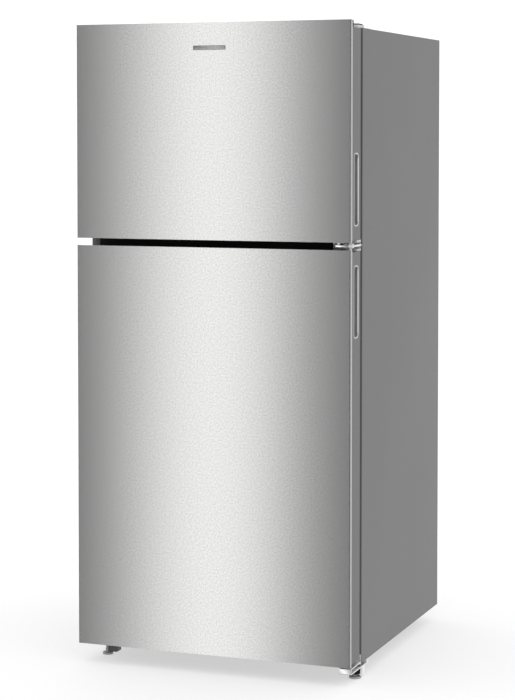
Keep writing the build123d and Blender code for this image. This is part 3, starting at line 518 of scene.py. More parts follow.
class Bench:
    """The modelling bench: each method does one step on the active mesh, as by hand."""

    @staticmethod
    def clear() -> None:
        """Leaves edit mode and deselects everything."""
        if bpy.context.object and bpy.context.object.mode != "OBJECT":
            bpy.ops.object.mode_set(mode="OBJECT")
        bpy.ops.object.select_all(action="DESELECT")

    @staticmethod
    def take(piece: bpy.types.Object) -> None:
        """Makes one piece the only selected and the active one."""
        Bench.clear()
        piece.select_set(True)
        bpy.context.view_layer.objects.active = piece

    @staticmethod
    def block(name: str, low: Place, high: Place) -> bpy.types.Object:
        """Starts a piece from a cube between two corners, in millimetres.

        Args:
            name: The piece's name.
            low: The lowest corner.
            high: The highest corner.

        Returns:
            The new piece.
        """
        Bench.clear()
        middle = [(a + b) / 2 * MM for a, b in zip(low, high)]
        size = [(b - a) * MM for a, b in zip(low, high)]
        bpy.ops.mesh.primitive_cube_add(size=1, location=middle, scale=size)
        return Bench.settle(name)

    @staticmethod
    def disc(
        name: str, start: Place, axis: Axis, radius: float, length: float, sides: int = 32
    ) -> bpy.types.Object:
        """Starts a piece from a cylinder that runs along an axis, in millimetres.

        Args:
            name: The piece's name.
            start: The centre of its first end.
            axis: The direction that it runs in.
            radius: Its radius.
            length: Its length, negative to run the other way.
            sides: Its number of sides.

        Returns:
            The new piece.
        """
        Bench.clear()
        way = Vector(axis.value)
        middle = (Vector(start) + way * length / 2) * MM
        turn = way.to_track_quat("Z", "Y").to_euler()
        bpy.ops.mesh.primitive_cylinder_add(
            vertices=sides, radius=radius * MM, depth=abs(length) * MM, location=middle, rotation=turn
        )
        return Bench.settle(name)

    @staticmethod
    def settle(name: str) -> bpy.types.Object:
        """Names the active object and moves its place into its mesh."""
        piece = bpy.context.object
        piece.name = piece.data.name = name
        bpy.ops.object.transform_apply(location=True, rotation=True, scale=True)
        return piece

    @staticmethod
    def pick(piece: bpy.types.Object, kind: Pick, test: Callable[[object], bool]) -> None:
        """Opens a piece in edit mode and selects the elements that pass a test.

        Args:
            piece: The piece.
            kind: Which elements are tested.
            test: Says whether an element is wanted.
        """
        Bench.take(piece)
        bpy.ops.object.mode_set(mode="EDIT")
        bpy.ops.mesh.select_mode(type=kind.name)
        bpy.ops.mesh.select_all(action="DESELECT")
        mesh = bmesh.from_edit_mesh(piece.data)
        if kind is Pick.FACE:
            mesh.normal_update()
        for element in [element for element in getattr(mesh, kind.value) if test(element)]:
            element.select_set(True)
        mesh.select_flush_mode()
        bmesh.update_edit_mesh(piece.data)

    @staticmethod
    def pick_faces(piece: bpy.types.Object, test: Callable[[bmesh.types.BMFace], bool]) -> None:
        """Selects the faces that pass a test."""
        Bench.pick(piece, Pick.FACE, test)

    @staticmethod
    def pick_points(piece: bpy.types.Object, test: Callable[[bmesh.types.BMVert], bool]) -> None:
        """Selects the points that pass a test."""
        Bench.pick(piece, Pick.VERT, test)

    @staticmethod
    def pick_edges(piece: bpy.types.Object, test: Callable[[bmesh.types.BMEdge], bool]) -> None:
        """Selects the edges that pass a test."""
        Bench.pick(piece, Pick.EDGE, test)

    @staticmethod
    def pick_along(piece: bpy.types.Object, axis: Axis, length: float) -> None:
        """Selects the edges that run more than a length in millimetres along an axis."""
        way = Vector(axis.value)
        Bench.pick_edges(
            piece, lambda edge: abs((edge.verts[0].co - edge.verts[1].co).dot(way)) > length * MM
        )

    @staticmethod
    def open_ring(piece: bpy.types.Object, axis: Axis, wall: float) -> None:
        """Opens a block into a ring round an axis, with a wall in millimetres."""
        way = Vector(axis.value)
        Bench.pick_faces(piece, lambda face: abs(face.normal.dot(way)) > 0.9)
        bpy.ops.mesh.inset(thickness=wall * MM, use_individual=True)
        bpy.ops.mesh.bridge_edge_loops()

    @staticmethod
    def repeat(first: bpy.types.Object, step: Place, count: int) -> bpy.types.Object:
        """Copies a piece in equal steps and joins the copies to it.

        Args:
            first: The piece, which counts as one.
            step: The step in millimetres.
            count: How many there are in all.

        Returns:
            The joined piece, under its first name.
        """
        name = first.name
        shifts = [tuple(Vector(step) * n) for n in range(1, count)]
        others = [Bench.copy(first, f"{name}_{n}", shift) for n, shift in enumerate(shifts)]
        return Bench.join(name, [first, *others])

    @staticmethod
    def inset(amount: float, depth: float = 0.0) -> None:
        """Insets the selected faces in millimetres, and sinks or raises them by depth."""
        bpy.ops.mesh.inset(thickness=amount * MM, depth=depth * MM, use_even_offset=True)

    @staticmethod
    def extrude(way: Place) -> None:
        """Extrudes the selected faces by a vector in millimetres."""
        move = tuple(value * MM for value in way)
        bpy.ops.mesh.extrude_region_move(TRANSFORM_OT_translate={"value": move})

    @staticmethod
    def bevel_picked(width: float, segments: int = 3) -> None:
        """Bevels the selected edges in millimetres."""
        bpy.ops.mesh.bevel(offset=width * MM, segments=segments, affect="EDGES")

    @staticmethod
    def modify(piece: bpy.types.Object, kind: str, **settings: object) -> None:
        """Adds a modifier, sets it and applies it.

        Args:
            piece: The piece.
            kind: The modifier's type.
            settings: Its properties and their values.
        """
        Bench.take(piece)
        modifier = piece.modifiers.new(kind.lower(), kind)
        for key, value in settings.items():
            setattr(modifier, key, value)
        bpy.ops.object.modifier_apply(modifier=modifier.name)

    @staticmethod
    def soften(piece: bpy.types.Object, width: float, segments: int = 2) -> None:
        """Rounds every hard edge of a piece by a width in millimetres."""
        Bench.modify(
            piece,
            "BEVEL",
            width=width * MM,
            segments=segments,
            limit_method="ANGLE",
            angle_limit=math.radians(32),
            use_clamp_overlap=True,
        )
        Bench.smooth(piece)

    @staticmethod
    def smooth(piece: bpy.types.Object, angle: float = 40.0) -> None:
        """Shades a piece smooth below an angle in degrees."""
        Bench.take(piece)
        bpy.ops.object.shade_smooth_by_angle(angle=math.radians(angle))

    @staticmethod
    def outward(piece: bpy.types.Object) -> None:
        """Merges doubles and turns every face outwards."""
        Bench.take(piece)
        bpy.ops.object.mode_set(mode="EDIT")
        bpy.ops.mesh.select_all(action="SELECT")
        bpy.ops.mesh.remove_doubles(threshold=0.00001)
        bpy.ops.mesh.normals_make_consistent(inside=False)
        bpy.ops.object.mode_set(mode="OBJECT")

    @staticmethod
    def copy(piece: bpy.types.Object, name: str, shift: Place) -> bpy.types.Object:
        """Copies a piece with its own mesh and moves the copy.

        Args:
            piece: The piece to copy.
            name: The copy's name.
            shift: How far it is moved, in millimetres.

        Returns:
            The copy.
        """
        Bench.clear()
        made = piece.copy()
        made.data = piece.data.copy()
        made.name = made.data.name = name
        made.parent = None
        for key in [key for key in made.keys() if key.startswith("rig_")]:
            del made[key]
        bpy.context.scene.collection.objects.link(made)
        made.data.transform(Matrix.Translation(Vector(shift) * MM))
        return made

    @staticmethod
    def join(name: str, pieces: Iterable[bpy.types.Object]) -> bpy.types.Object:
        """Joins pieces into one.

        Args:
            name: The joined piece's name.
            pieces: The pieces.

        Returns:
            The joined piece.
        """
        parts = list(pieces)
        Bench.take(parts[0])
        for part in parts[1:]:
            part.select_set(True)
        bpy.ops.object.join()
        parts[0].name = parts[0].data.name = name
        return parts[0]

    @staticmethod
    def cad_copy(node: str, width: float, segments: int = 2) -> bpy.types.Object:
        """A merged copy of a CAD node with its hard edges rounded.

        Args:
            node: The node.
            width: The rounding in millimetres.
            segments: The rounding's segments.

        Returns:
            The copy.
        """
        made = Bench.copy(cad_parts[node], f"{node}_rounded", (0, 0, 0))
        made.data.materials.clear()
        Bench.take(made)
        bpy.ops.object.mode_set(mode="EDIT")
        bpy.ops.mesh.select_all(action="SELECT")
        bpy.ops.mesh.remove_doubles(threshold=0.000005)
        bpy.ops.mesh.dissolve_limited(angle_limit=math.radians(0.8))
        bpy.ops.object.mode_set(mode="OBJECT")
        Bench.soften(made, width, segments)
        return made



@dataclass
class Assembly:
    """Common ground of the sub-assemblies: their finishes and how pieces are handed over."""

    finishes: Finishes

    def hand_over(
        self, piece: bpy.types.Object, finish: str, body: Body, stands_for: tuple[str, ...] = ()
    ) -> bpy.types.Object:
        """Dresses a finished piece and mounts it on its body.

        Args:
            piece: The piece.
            finish: The finish's name.
            body: The body that it rides on.
            stands_for: The CAD nodes that it replaces.

        Returns:
            The piece.
        """
        Bench.clear()
        self.finishes.dress(piece, finish)
        if stands_for:
            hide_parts(*stands_for)
        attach(piece, body.value)
        LOG.info("%s: %d faces on %s", piece.name, len(piece.data.polygons), body.value)
        return piece

    def swap(self, node: str, finish: str, body: Body, width: float = 0.6, segments: int = 2) -> None:
        """Replaces a CAD node by a copy with rounded edges.

        Args:
            node: The node.
            finish: The finish's name.
            body: The body that it rides on.
            width: The rounding in millimetres.
            segments: The rounding's segments.
        """
        self.hand_over(Bench.cad_copy(node, width, segments), finish, body, (node,))

    def dress_nodes(self, finish: str, *nodes: str) -> None:
        """Gives CAD nodes that stay a finish."""
        for node in nodes:
            self.finishes.dress_node(node, finish)
            LOG.info("%s: CAD shape in %s", node, finish)

    @staticmethod
    def span(node: str) -> tuple[Vector, Vector]:
        """A CAD node's lowest and highest corners in millimetres."""
        low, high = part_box(node)
        return Vector(low) / MM, Vector(high) / MM


@dataclass
class Screws(Assembly):
    """Pan-head screws with a cross recess."""

    radius: float = 4.0
    height: float = 2.2

    def model(self, name: str, place: Place, axis: Axis, way: int) -> bpy.types.Object:
        """Models one screw head.

        Args:
            name: Its name.
            place: The centre of its seat, in millimetres.
            axis: The axis that it points along.
            way: 1 or -1 along that axis.

        Returns:
            The head.
        """
        head = Bench.disc(name, place, axis, self.radius, self.height * way, 24)
        out = Vector(axis.value) * way
        Bench.pick_faces(head, lambda face: face.normal.dot(out) > 0.9)
        Bench.inset(self.radius * 0.45)
        Bench.extrude(tuple(-out * self.height * 0.55))
        Bench.clear()
        Bench.soften(head, 0.7, 3)
        return head

    def row(
        self, name: str, places: Iterable[Place], axis: Axis, way: int, finish: str, body: Body
    ) -> None:
        """Models one screw and copies it to every place.

        Args:
            name: The joined piece's name.
            places: The seats' centres, in millimetres.
            axis: The axis that the heads point along.
            way: 1 or -1 along that axis.
            finish: The finish's name.
            body: The body that they ride on.
        """
        spots = [Vector(place) for place in places]
        first = self.model(name, tuple(spots[0]), axis, way)
        others = [
            Bench.copy(first, f"{name}_{n}", tuple(spot - spots[0])) for n, spot in enumerate(spots[1:])
        ]
        self.hand_over(Bench.join(name, [first, *others]), finish, body)


# ---------------------------------------------------------------- doors


@dataclass
class Door(Assembly):
    """One door: steel skin, seal, end caps, finger grips and bin holders."""

    prefix: str
    body: Body
    grip_height: float
    bins: tuple[float, ...]
    tab: tuple[float, float]
    stop_x: tuple[float, float] = (360.6, 374.8)
    stop_y: tuple[float, float] = (-348.4, -317.6)
    lug: Place = (9.0, 26.0, 9.0)
    lug_front: float = -323.5
    ring_inner: float = 286.0
    # The pale rim round each grip is a painted highlight: its width, and how much wider it is at the rear.
    rim: float = 2.4
    rear_highlight_width: float = 3.4
    grip_half: tuple[float, float] = (18.9, 90.9)
    grip_turn: float = 11.5
    grip_face: float = 374.9
    grip_middle: float = -356.0
    seal_width: float = 18.0
    folds: tuple[tuple[float, float], ...] = (
        (4.2, 0.0),
        (6.0, 3.4),
        (7.8, 3.4),
        (9.4, 0.4),
        (11.0, 3.4),
        (12.8, 3.4),
        (14.2, 0.0),
    )

    def build(self) -> None:
        """Builds and dresses everything that belongs to the door."""
        self.dress_nodes("door_steel", f"{self.prefix}_skin")
        self.dress_nodes("cabinet_grey", f"{self.prefix}_sides")
        # The grips' grey is lifted to cancel the shade in their recesses: painted light.
        self.dress_nodes("grip_grey", f"{self.prefix}_grips")
        self.dress_nodes("liner_white", f"{self.prefix}_liner")
        self.dress_nodes("insulation_foam", f"{self.prefix}_foam")
        self.dress_nodes("clear_plastic", f"{self.prefix}_bins")
        # The end caps are near-black: painted shade for the dark gap between the doors.
        self.swap(f"{self.prefix}_caps", "dark_plastic", self.body, 0.5)
        self.seal()
        self.grip_highlights()
        self.stop()
        for height in self.bins:
            self.holder(height)

    def seal(self) -> None:
        """The magnetic seal: one closed ring whose walls fold like a bellows."""
        node = f"{self.prefix}_gasket"
        low, high = self.span(node)
        ring = Bench.block(f"{self.prefix}_seal", tuple(low), tuple(high))
        Bench.open_ring(ring, Axis.Y, self.seal_width)
        for depth, _ in self.folds:
            bpy.ops.mesh.select_all(action="SELECT")
            bpy.ops.mesh.bisect(plane_co=(0, (high.y - depth) * MM, 0), plane_no=(0, 1, 0))
        half = (high - low) / 2
        middle = (low + high) / 2
        for depth, pull in self.folds:
            for wall in (0.0, self.seal_width):
                self.pinch(ring, high.y - depth, pull, half, wall, middle)
        Bench.outward(ring)
        Bench.soften(ring, 0.5, 3)
        self.hand_over(ring, "seal_grey", self.body, (node,))

    @staticmethod
    def pinch(
        ring: bpy.types.Object, level: float, pull: float, half: Vector, wall: float, middle: Vector
    ) -> None:
        """Draws one loop of the seal's wall towards the wall's middle line.

        Args:
            ring: The seal.
            level: The loop's place along Y, in millimetres.
            pull: How far it moves, in millimetres.
            half: Half of the seal's size.
            wall: 0 for the outer wall, or the seal's width for the inner one.
            middle: The seal's centre.
        """
        reach = Vector((half.x - wall, 0, half.z - wall))
        Bench.pick_points(
            ring,
            lambda point: abs(point.co.y / MM - level) < 0.01
            and (
                abs(abs(point.co.x / MM - middle.x) - reach.x) < 0.1
                or abs(abs(point.co.z / MM - middle.z) - reach.z) < 0.1
            )
            and abs(point.co.x / MM - middle.x) < reach.x + 0.1
            and abs(point.co.z / MM - middle.z) < reach.z + 0.1,
        )
        way = pull if wall else -pull
        bpy.ops.transform.resize(
            value=(1 + way / reach.x, 1, 1 + way / reach.z), center_override=tuple(middle * MM)
        )

    def grip_highlights(self) -> None:
        """A pale flat rim round the mouth of each finger grip, widest at its rear: a painted highlight
        along the grip's lit edge.
        """
        half_y, half_z = self.grip_half
        rear = self.grip_middle + half_y - self.rim
        for side, sign in (("left", -1), ("right", 1)):
            inner, outer = sorted((sign * (self.grip_face - 2.4), sign * self.grip_face))
            rim = Bench.block(
                f"{self.prefix}_{side}_grip_rim",
                (inner, self.grip_middle - half_y, self.grip_height - half_z),
                (outer, self.grip_middle + half_y, self.grip_height + half_z),
            )
            Bench.pick_along(rim, Axis.X, 1.0)
            Bench.bevel_picked(self.grip_turn, 7)
            Bench.open_ring(rim, Axis.X, self.rim)
            Bench.pick_points(rim, lambda point: abs(point.co.y / MM - rear) < 0.05)
            bpy.ops.transform.translate(value=(0, -self.rear_highlight_width * MM, 0))
            Bench.outward(rim)
            Bench.soften(rim, 0.5, 3)
            self.hand_over(rim, "rim_grey", self.body)

    def stop(self) -> None:
        """The pale stop block at the hinge end of the end cap."""
        corners = zip(self.stop_x, self.stop_y, self.tab)
        block = Bench.block(f"{self.prefix}_stop", *corners)
        outer = (self.stop_x[1] - 0.3) * MM
        Bench.pick_edges(block, lambda edge: edge.verts[0].co.x + edge.verts[1].co.x > 2 * outer)
        Bench.bevel_picked(1.4, 4)
        Bench.clear()
        Bench.soften(block, 0.4, 3)
        self.hand_over(block, "tab_grey", self.body)

    def holder(self, height: float) -> None:
        """The two lugs that a bin hangs on.

        Args:
            height: The bin's underside in millimetres.
        """
        width, depth, rise = self.lug
        for side, sign in (("left", -1), ("right", 1)):
            inner, outer = sorted((sign * (self.ring_inner - width), sign * (self.ring_inner + 1)))
            lug = Bench.block(
                f"{self.prefix}_lug_{side}_{height:.0f}",
                (inner, self.lug_front, height - rise),
                (outer, self.lug_front + depth, height - 0.3),
            )
            Bench.pick_along(lug, Axis.Y, 10.0)
            Bench.bevel_picked(3.0, 4)
            Bench.clear()
            Bench.soften(lug, 0.8)
            self.hand_over(lug, "liner_white", self.body)


@dataclass
class DoorBins(Assembly):
    """The clear bins' bands, ribs and the dairy lid."""

    half: float = 285.5
    front: float = -226.0
    proud: float = 0.9
    lidded: float = 930.0
    band_wrap: float = 54.0
    band_drop: float = 13.0
    band_turn: float = 14.5
    band_thick: float = 1.7
    rib_x: tuple[float, float] = (-241.5, -238.5)
    rib_step: float = 40.0
    rib_count: int = 13

    def build(self) -> None:
        """Adds ribs to every bin, and a band to each bin but the lidded one."""
        for body, tops in (
            (Body.FREEZER_DOOR, ((1196, 1266), (1376, 1446))),
            (Body.FRIDGE_DOOR, ((346, 446), (562, 640), (738, 810), (864, 930))),
        ):
            for low, high in tops:
                self.ribs(body, low, high)
                if high != self.lidded:
                    self.band(body, high)
        self.dress_nodes("clear_plastic", "dairy_bin")
        self.lid()

    def band(self, body: Body, top: float) -> None:
        """A satin band that wraps a bin's mouth and its two front corners.

        Args:
            body: The door's body.
            top: The bin's rim in millimetres.
        """
        name = f"{body.value}_band_{top:.0f}"
        reach = self.half + self.proud
        front = self.front + self.proud
        band = Bench.block(
            name,
            (-reach, self.front - self.band_wrap, top - self.band_drop),
            (reach, front, top - 0.6),
        )
        Bench.pick_faces(band, lambda face: abs(face.normal.z) > 0.9 or face.normal.y < -0.9)
        bpy.ops.mesh.delete(type="ONLY_FACE")
        Bench.pick_edges(
            band,
            lambda edge: abs(edge.verts[0].co.z - edge.verts[1].co.z) > 0.005
            and edge.verts[0].co.y > (self.front - 10) * MM,
        )
        Bench.bevel_picked(self.band_turn, 8)
        Bench.clear()
        Bench.outward(band)
        Bench.modify(band, "SOLIDIFY", thickness=self.band_thick * MM, offset=-1.0)
        Bench.soften(band, 0.5, 3)
        self.hand_over(band, "part_white", body)

    def ribs(self, body: Body, low: float, high: float) -> None:
        """Upright ribs moulded on a bin's front.

        Args:
            body: The door's body.
            low: The bin's underside in millimetres.
            high: The bin's rim in millimetres.
        """
        name = f"{body.value}_ribs_{low:.0f}"
        left, right = self.rib_x
        first = Bench.block(
            name, (left, self.front - 0.4, low + 12), (right, self.front + self.proud, high - 16)
        )
        Bench.soften(first, 0.5, 3)
        ribs = Bench.repeat(first, (self.rib_step, 0, 0), self.rib_count)
        self.hand_over(ribs, "clear_plastic", body)

    def lid(self) -> None:
        """The dairy lid with rounded edges, and its finger pull."""
        lid = Bench.cad_copy("dairy_lid", 0.8)
        self.hand_over(lid, "clear_plastic", Body.LID, ("dairy_lid",))
        low, high = self.span("dairy_lid")
        pull = Bench.block(
            "dairy_lid_pull", (-55, high.y - 2.6, low.z + 1), (55, high.y + 1.6, low.z + 9)
        )
        Bench.pick_along(pull, Axis.Z, 4.0)
        Bench.bevel_picked(1.8, 4)
        Bench.clear()
        Bench.soften(pull, 0.5)
        self.hand_over(pull, "part_white", Body.LID)


@dataclass
class Badge(Assembly):
    """A plain bar badge with a sunk face."""

    border: float = 1.4
    sink: float = 0.35

    def build(self) -> None:
        """Builds the badge from its CAD outline."""
        plate = Bench.copy(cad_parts["badge"], "badge_plate", (0, 0, 0))
        Bench.outward(plate)
        Bench.take(plate)
        bpy.ops.object.mode_set(mode="EDIT")
        bpy.ops.mesh.select_all(action="SELECT")
        bpy.ops.mesh.dissolve_limited(angle_limit=math.radians(0.5))
        Bench.pick_faces(plate, lambda face: face.normal.y < -0.9)
        Bench.inset(self.border)
        Bench.inset(0.3, -self.sink)
        Bench.clear()
        Bench.soften(plate, 0.18, 2)
        self.hand_over(plate, "badge_aluminium", Body.FREEZER_DOOR, ("badge",))


# ---------------------------------------------------------------- cabinet outside


@dataclass
class Hinges(Assembly):
    """The three hinges, their pins and the screws that hold them."""

    slot_middle: float = 1106.5
    flange_middle: float = 55.5
    top_x: float = 337.0
    face: float = -311.0
    cabinet_top: float = 1651.0

    def build(self) -> None:
        """Builds and dresses the hinges."""
        self.swap("bottom_hinge", "nickel", Body.CABINET, 0.6, 3)
        self.swap("centre_hinge", "nickel", Body.CABINET, 0.6, 3)
        self.swap("hinge_pins", "nickel", Body.CABINET, 0.5, 3)
        self.swap("top_hinge", "hinge_plate", Body.CABINET, 0.4)
        self.swap("top_hinge_cover", "dark_plastic", Body.CABINET, 0.7, 3)
        screws = Screws(self.finishes)
        fronts = [(x, self.face, self.slot_middle) for x in (305, 321)]
        fronts += [(x, self.face, self.flange_middle) for x in (340, 364)]
        screws.row("hinge_front_screws", fronts, Axis.Y, -1, "satin_steel", Body.CABINET)
        tops = [(self.top_x, y, self.cabinet_top + 2.5) for y in (-286, -258, -230)]
        heads = screws.model("hinge_top_screws", tops[0], Axis.Z, 1)
        joined = Bench.repeat(heads, (0, tops[1][1] - tops[0][1], 0), len(tops))
        self.hand_over(joined, "satin_steel", Body.CABINET, ("hinge_screws",))


@dataclass
class Feet(Assembly):
    """Levelling feet with threads, their brackets and the rear rollers."""

    left_x: float = -338.0
    right_x: float = 355.0
    foot_y: float = -298.0
    wheel_low: float = 12.0
    wheel_radius: float = 14.6
    wheel_height: float = 11.0
    notches: int = 8
    thread_pitch: float = 3.0
    ridges: int = 6
    stem: float = 5.0

    def build(self) -> None:
        """Builds and dresses the feet and rollers."""
        feet = (("left", self.left_x, Body.LEFT_FOOT), ("right", self.right_x, Body.RIGHT_FOOT))
        for side, x, body in feet:
            self.swap(f"{side}_levelling_foot", "foot_grey", body, 0.8, 3)
            self.thread(side, x, body)
        self.wheel()
        self.swap("foot_brackets", "dark_sheet", Body.CABINET, 0.4)
        for side, body in (("left", Body.LEFT_ROLLER), ("right", Body.RIGHT_ROLLER)):
            self.swap(f"{side}_roller", "black_rubber", body, 0.8, 3)

    def wheel(self) -> None:
        """The dark finger wheel on the right foot, scalloped all round."""
        seat = (self.right_x, self.foot_y, self.wheel_low)
        wheel = Bench.disc(
            "right_foot_wheel", seat, Axis.Z, self.wheel_radius, self.wheel_height, 6 * self.notches
        )
        part = math.tau / (2 * self.notches)
        for first in (0, 1):
            Bench.pick_faces(
                wheel,
                lambda face: abs(face.normal.z) < 0.5
                and int((math.atan2(face.normal.y, face.normal.x) + math.tau) / part) % 2 == first,
            )
            if first:
                bpy.ops.mesh.inset(thickness=0.35 * MM, depth=-0.9 * MM)
        Bench.clear()
        Bench.soften(wheel, 0.5, 2)
        self.hand_over(wheel, "dark_plastic", Body.RIGHT_FOOT)

    def thread(self, side: str, x: float, body: Body) -> None:
        """Thread ridges on the bare stretch of a foot's stem.

        Args:
            side: left or right.
            x: The stem's place across the cabinet, in millimetres.
            body: The foot's body.
        """
        seat = (x, self.foot_y, 16)
        first = Bench.disc(f"{side}_foot_thread", seat, Axis.Z, self.stem + 0.05, 1.6, 28)
        Bench.pick_edges(first, lambda edge: abs(edge.verts[0].co.z - edge.verts[1].co.z) < 1e-5)
        Bench.bevel_picked(0.5, 2)
        Bench.clear()
        Bench.smooth(first)
        ridges = Bench.repeat(first, (0, 0, self.thread_pitch), self.ridges)
        self.hand_over(ridges, "satin_steel", body)


@dataclass
class Cabinet(Assembly):
    """The shell, its back and the sheet parts under it."""

    back: float = 400.0
    strip: float = 19.0
    face_y: tuple[float, float] = (-308.45, -307.7)
    face_half: float = 374.4
    face_z: tuple[float, float] = (43.0, 1650.4)
    bead_half: float = 310.0
    bead_z: tuple[float, float] = (400.0, 430.0)
    plug_x: float = 180.0
    plug_z: float = 1120.0
    plug_radius: float = 17.0
    bead_step: float = 200.0
    bead_count: int = 6

    def build(self) -> None:
        """Builds and dresses the cabinet's outside."""
        self.dress_nodes("cabinet_grey", "cabinet_shell")
        self.dress_nodes("zinc_sheet", "rear_panel")
        self.dress_nodes("dark_sheet", "base_frame", "machine_cover")
        self.dress_nodes("dark_plastic", "mullion_cover")
        self.dress_nodes("insulation_foam", "cabinet_foam")
        self.swap("cord_inlet", "dark_plastic", Body.CABINET, 0.5, 3)
        self.front_frame()
        self.beads()
        self.plugs()
        screws = Screws(self.finishes, 4.0, 0.7)
        edge = [(sign * 366, self.back, z) for sign in (-1, 1) for z in range(360, 1641, 160)]
        edge += [(x, self.back, 1640) for x in (-240, -80, 80, 240)]
        screws.row("rear_screws", edge, Axis.Y, 1, "satin_steel", Body.CABINET)
        cover = [(x, self.back - 0.1, z) for x in (-350, -175, 0, 175, 350) for z in (76, 304)]
        screws.row("cover_screws", cover, Axis.Y, 1, "satin_steel", Body.CABINET)

    def front_frame(self) -> None:
        """A dark strip round the cabinet's face, which the door seals close on: painted shade for the dark
        seam round the doors, where the real flange has the cabinet's grey.
        """
        corners = zip((-self.face_half, self.face_half), self.face_y, self.face_z)
        ring = Bench.block("front_frame", *corners)
        Bench.open_ring(ring, Axis.Y, self.strip)
        Bench.clear()
        Bench.outward(ring)
        Bench.soften(ring, 0.2)
        self.hand_over(ring, "dark_sheet", Body.CABINET)

    def beads(self) -> None:
        """Shallow stiffening beads pressed across the rear panel."""
        low, high = self.bead_z
        first = Bench.block(
            "rear_beads", (-self.bead_half, self.back - 0.8, low), (self.bead_half, self.back + 0.02, high)
        )
        Bench.pick_along(first, Axis.Y, 0.5)
        Bench.bevel_picked(12.0, 6)
        Bench.pick_faces(first, lambda face: face.normal.y > 0.99)
        Bench.inset(4.0, 0.35)
        Bench.inset(4.0, 0.35)
        Bench.clear()
        Bench.smooth(first, 60)
        beads = Bench.repeat(first, (0, 0, self.bead_step), self.bead_count)
        self.hand_over(beads, "zinc_sheet", Body.CABINET)

    def plugs(self) -> None:
        """The round caps over the foam filling holes."""
        for side, x in (("left", -self.plug_x), ("right", self.plug_x)):
            seat = (x, self.back - 0.5, self.plug_z)
            plug = Bench.disc(f"{side}_foam_plug", seat, Axis.Y, self.plug_radius, 1.2, 40)
            Bench.pick_faces(plug, lambda face: face.normal.y > 0.9)
            Bench.inset(3.0)
            Bench.inset(1.0, -0.4)
            Bench.clear()
            Bench.soften(plug, 0.25)
            self.hand_over(plug, "tab_grey", Body.CABINET)


# ---------------------------------------------------------------- inside


@dataclass
class FreezerInside(Assembly):
    """The freezer's back cover, fan, coil and airflow slider."""

    cover_front: float = 232.0
    fan_middle: float = 1490.0
    grille_half: tuple[float, float] = (78.0, 66.0)
    grille_turn: float = 20.0
    grille_wall: float = 9.0
    mark_x: float = -52.0
    mark_step: float = 24.0
    mark_low: float = 1232.0
    mark_count: int = 5

    def build(self) -> None:
        """Builds and dresses the freezer's inside."""
        self.dress_nodes("liner_white", "freezer_liner")
        self.dress_nodes("part_white", "evaporator_cover")
        self.dress_nodes("fin_aluminium", "evaporator_coil")
        self.dress_nodes("dark_plastic", "fan_motor")
        self.swap("fan_blades", "part_white", Body.FAN, 0.3)
        self.swap("airflow_slider", "grip_grey", Body.SLIDER, 0.6, 3)
        self.panel()
        self.marks()
        screws = Screws(self.finishes, 4.5, 1.6)
        spots = [(x, self.cover_front + 8, z) for x in (-250, 250) for z in (1190, 1400, 1560)]
        screws.row("freezer_cover_screws", spots, Axis.Y, -1, "part_white", Body.CABINET)

    def panel(self) -> None:
        """The raised surround of the fan grille."""
        front = self.cover_front + 8
        wide, high = self.grille_half
        ring = Bench.block(
            "fan_grille_frame",
            (-wide, front - 2.6, self.fan_middle - high),
            (wide, front + 0.4, self.fan_middle + high),
        )
        Bench.pick_along(ring, Axis.Y, 2.0)
        Bench.bevel_picked(self.grille_turn, 8)
        Bench.open_ring(ring, Axis.Y, self.grille_wall)
        Bench.clear()
        Bench.outward(ring)
        Bench.soften(ring, 0.8, 3)
        self.hand_over(ring, "part_white", Body.CABINET)

    def marks(self) -> None:
        """Raised bars of growing height beside the airflow slider."""
        bars = []
        face = self.cover_front + 8
        for n in range(self.mark_count):
            left, top = self.mark_x + self.mark_step * n, self.mark_low + 4 + 2.5 * n
            bar = Bench.block(
                f"airflow_mark_{n}", (left, face - 0.6, self.mark_low), (left + 4, face + 0.2, top)
            )
            Bench.soften(bar, 0.25)
            bars.append(bar)
        self.hand_over(Bench.join("airflow_marks", bars), "grip_grey", Body.CABINET)


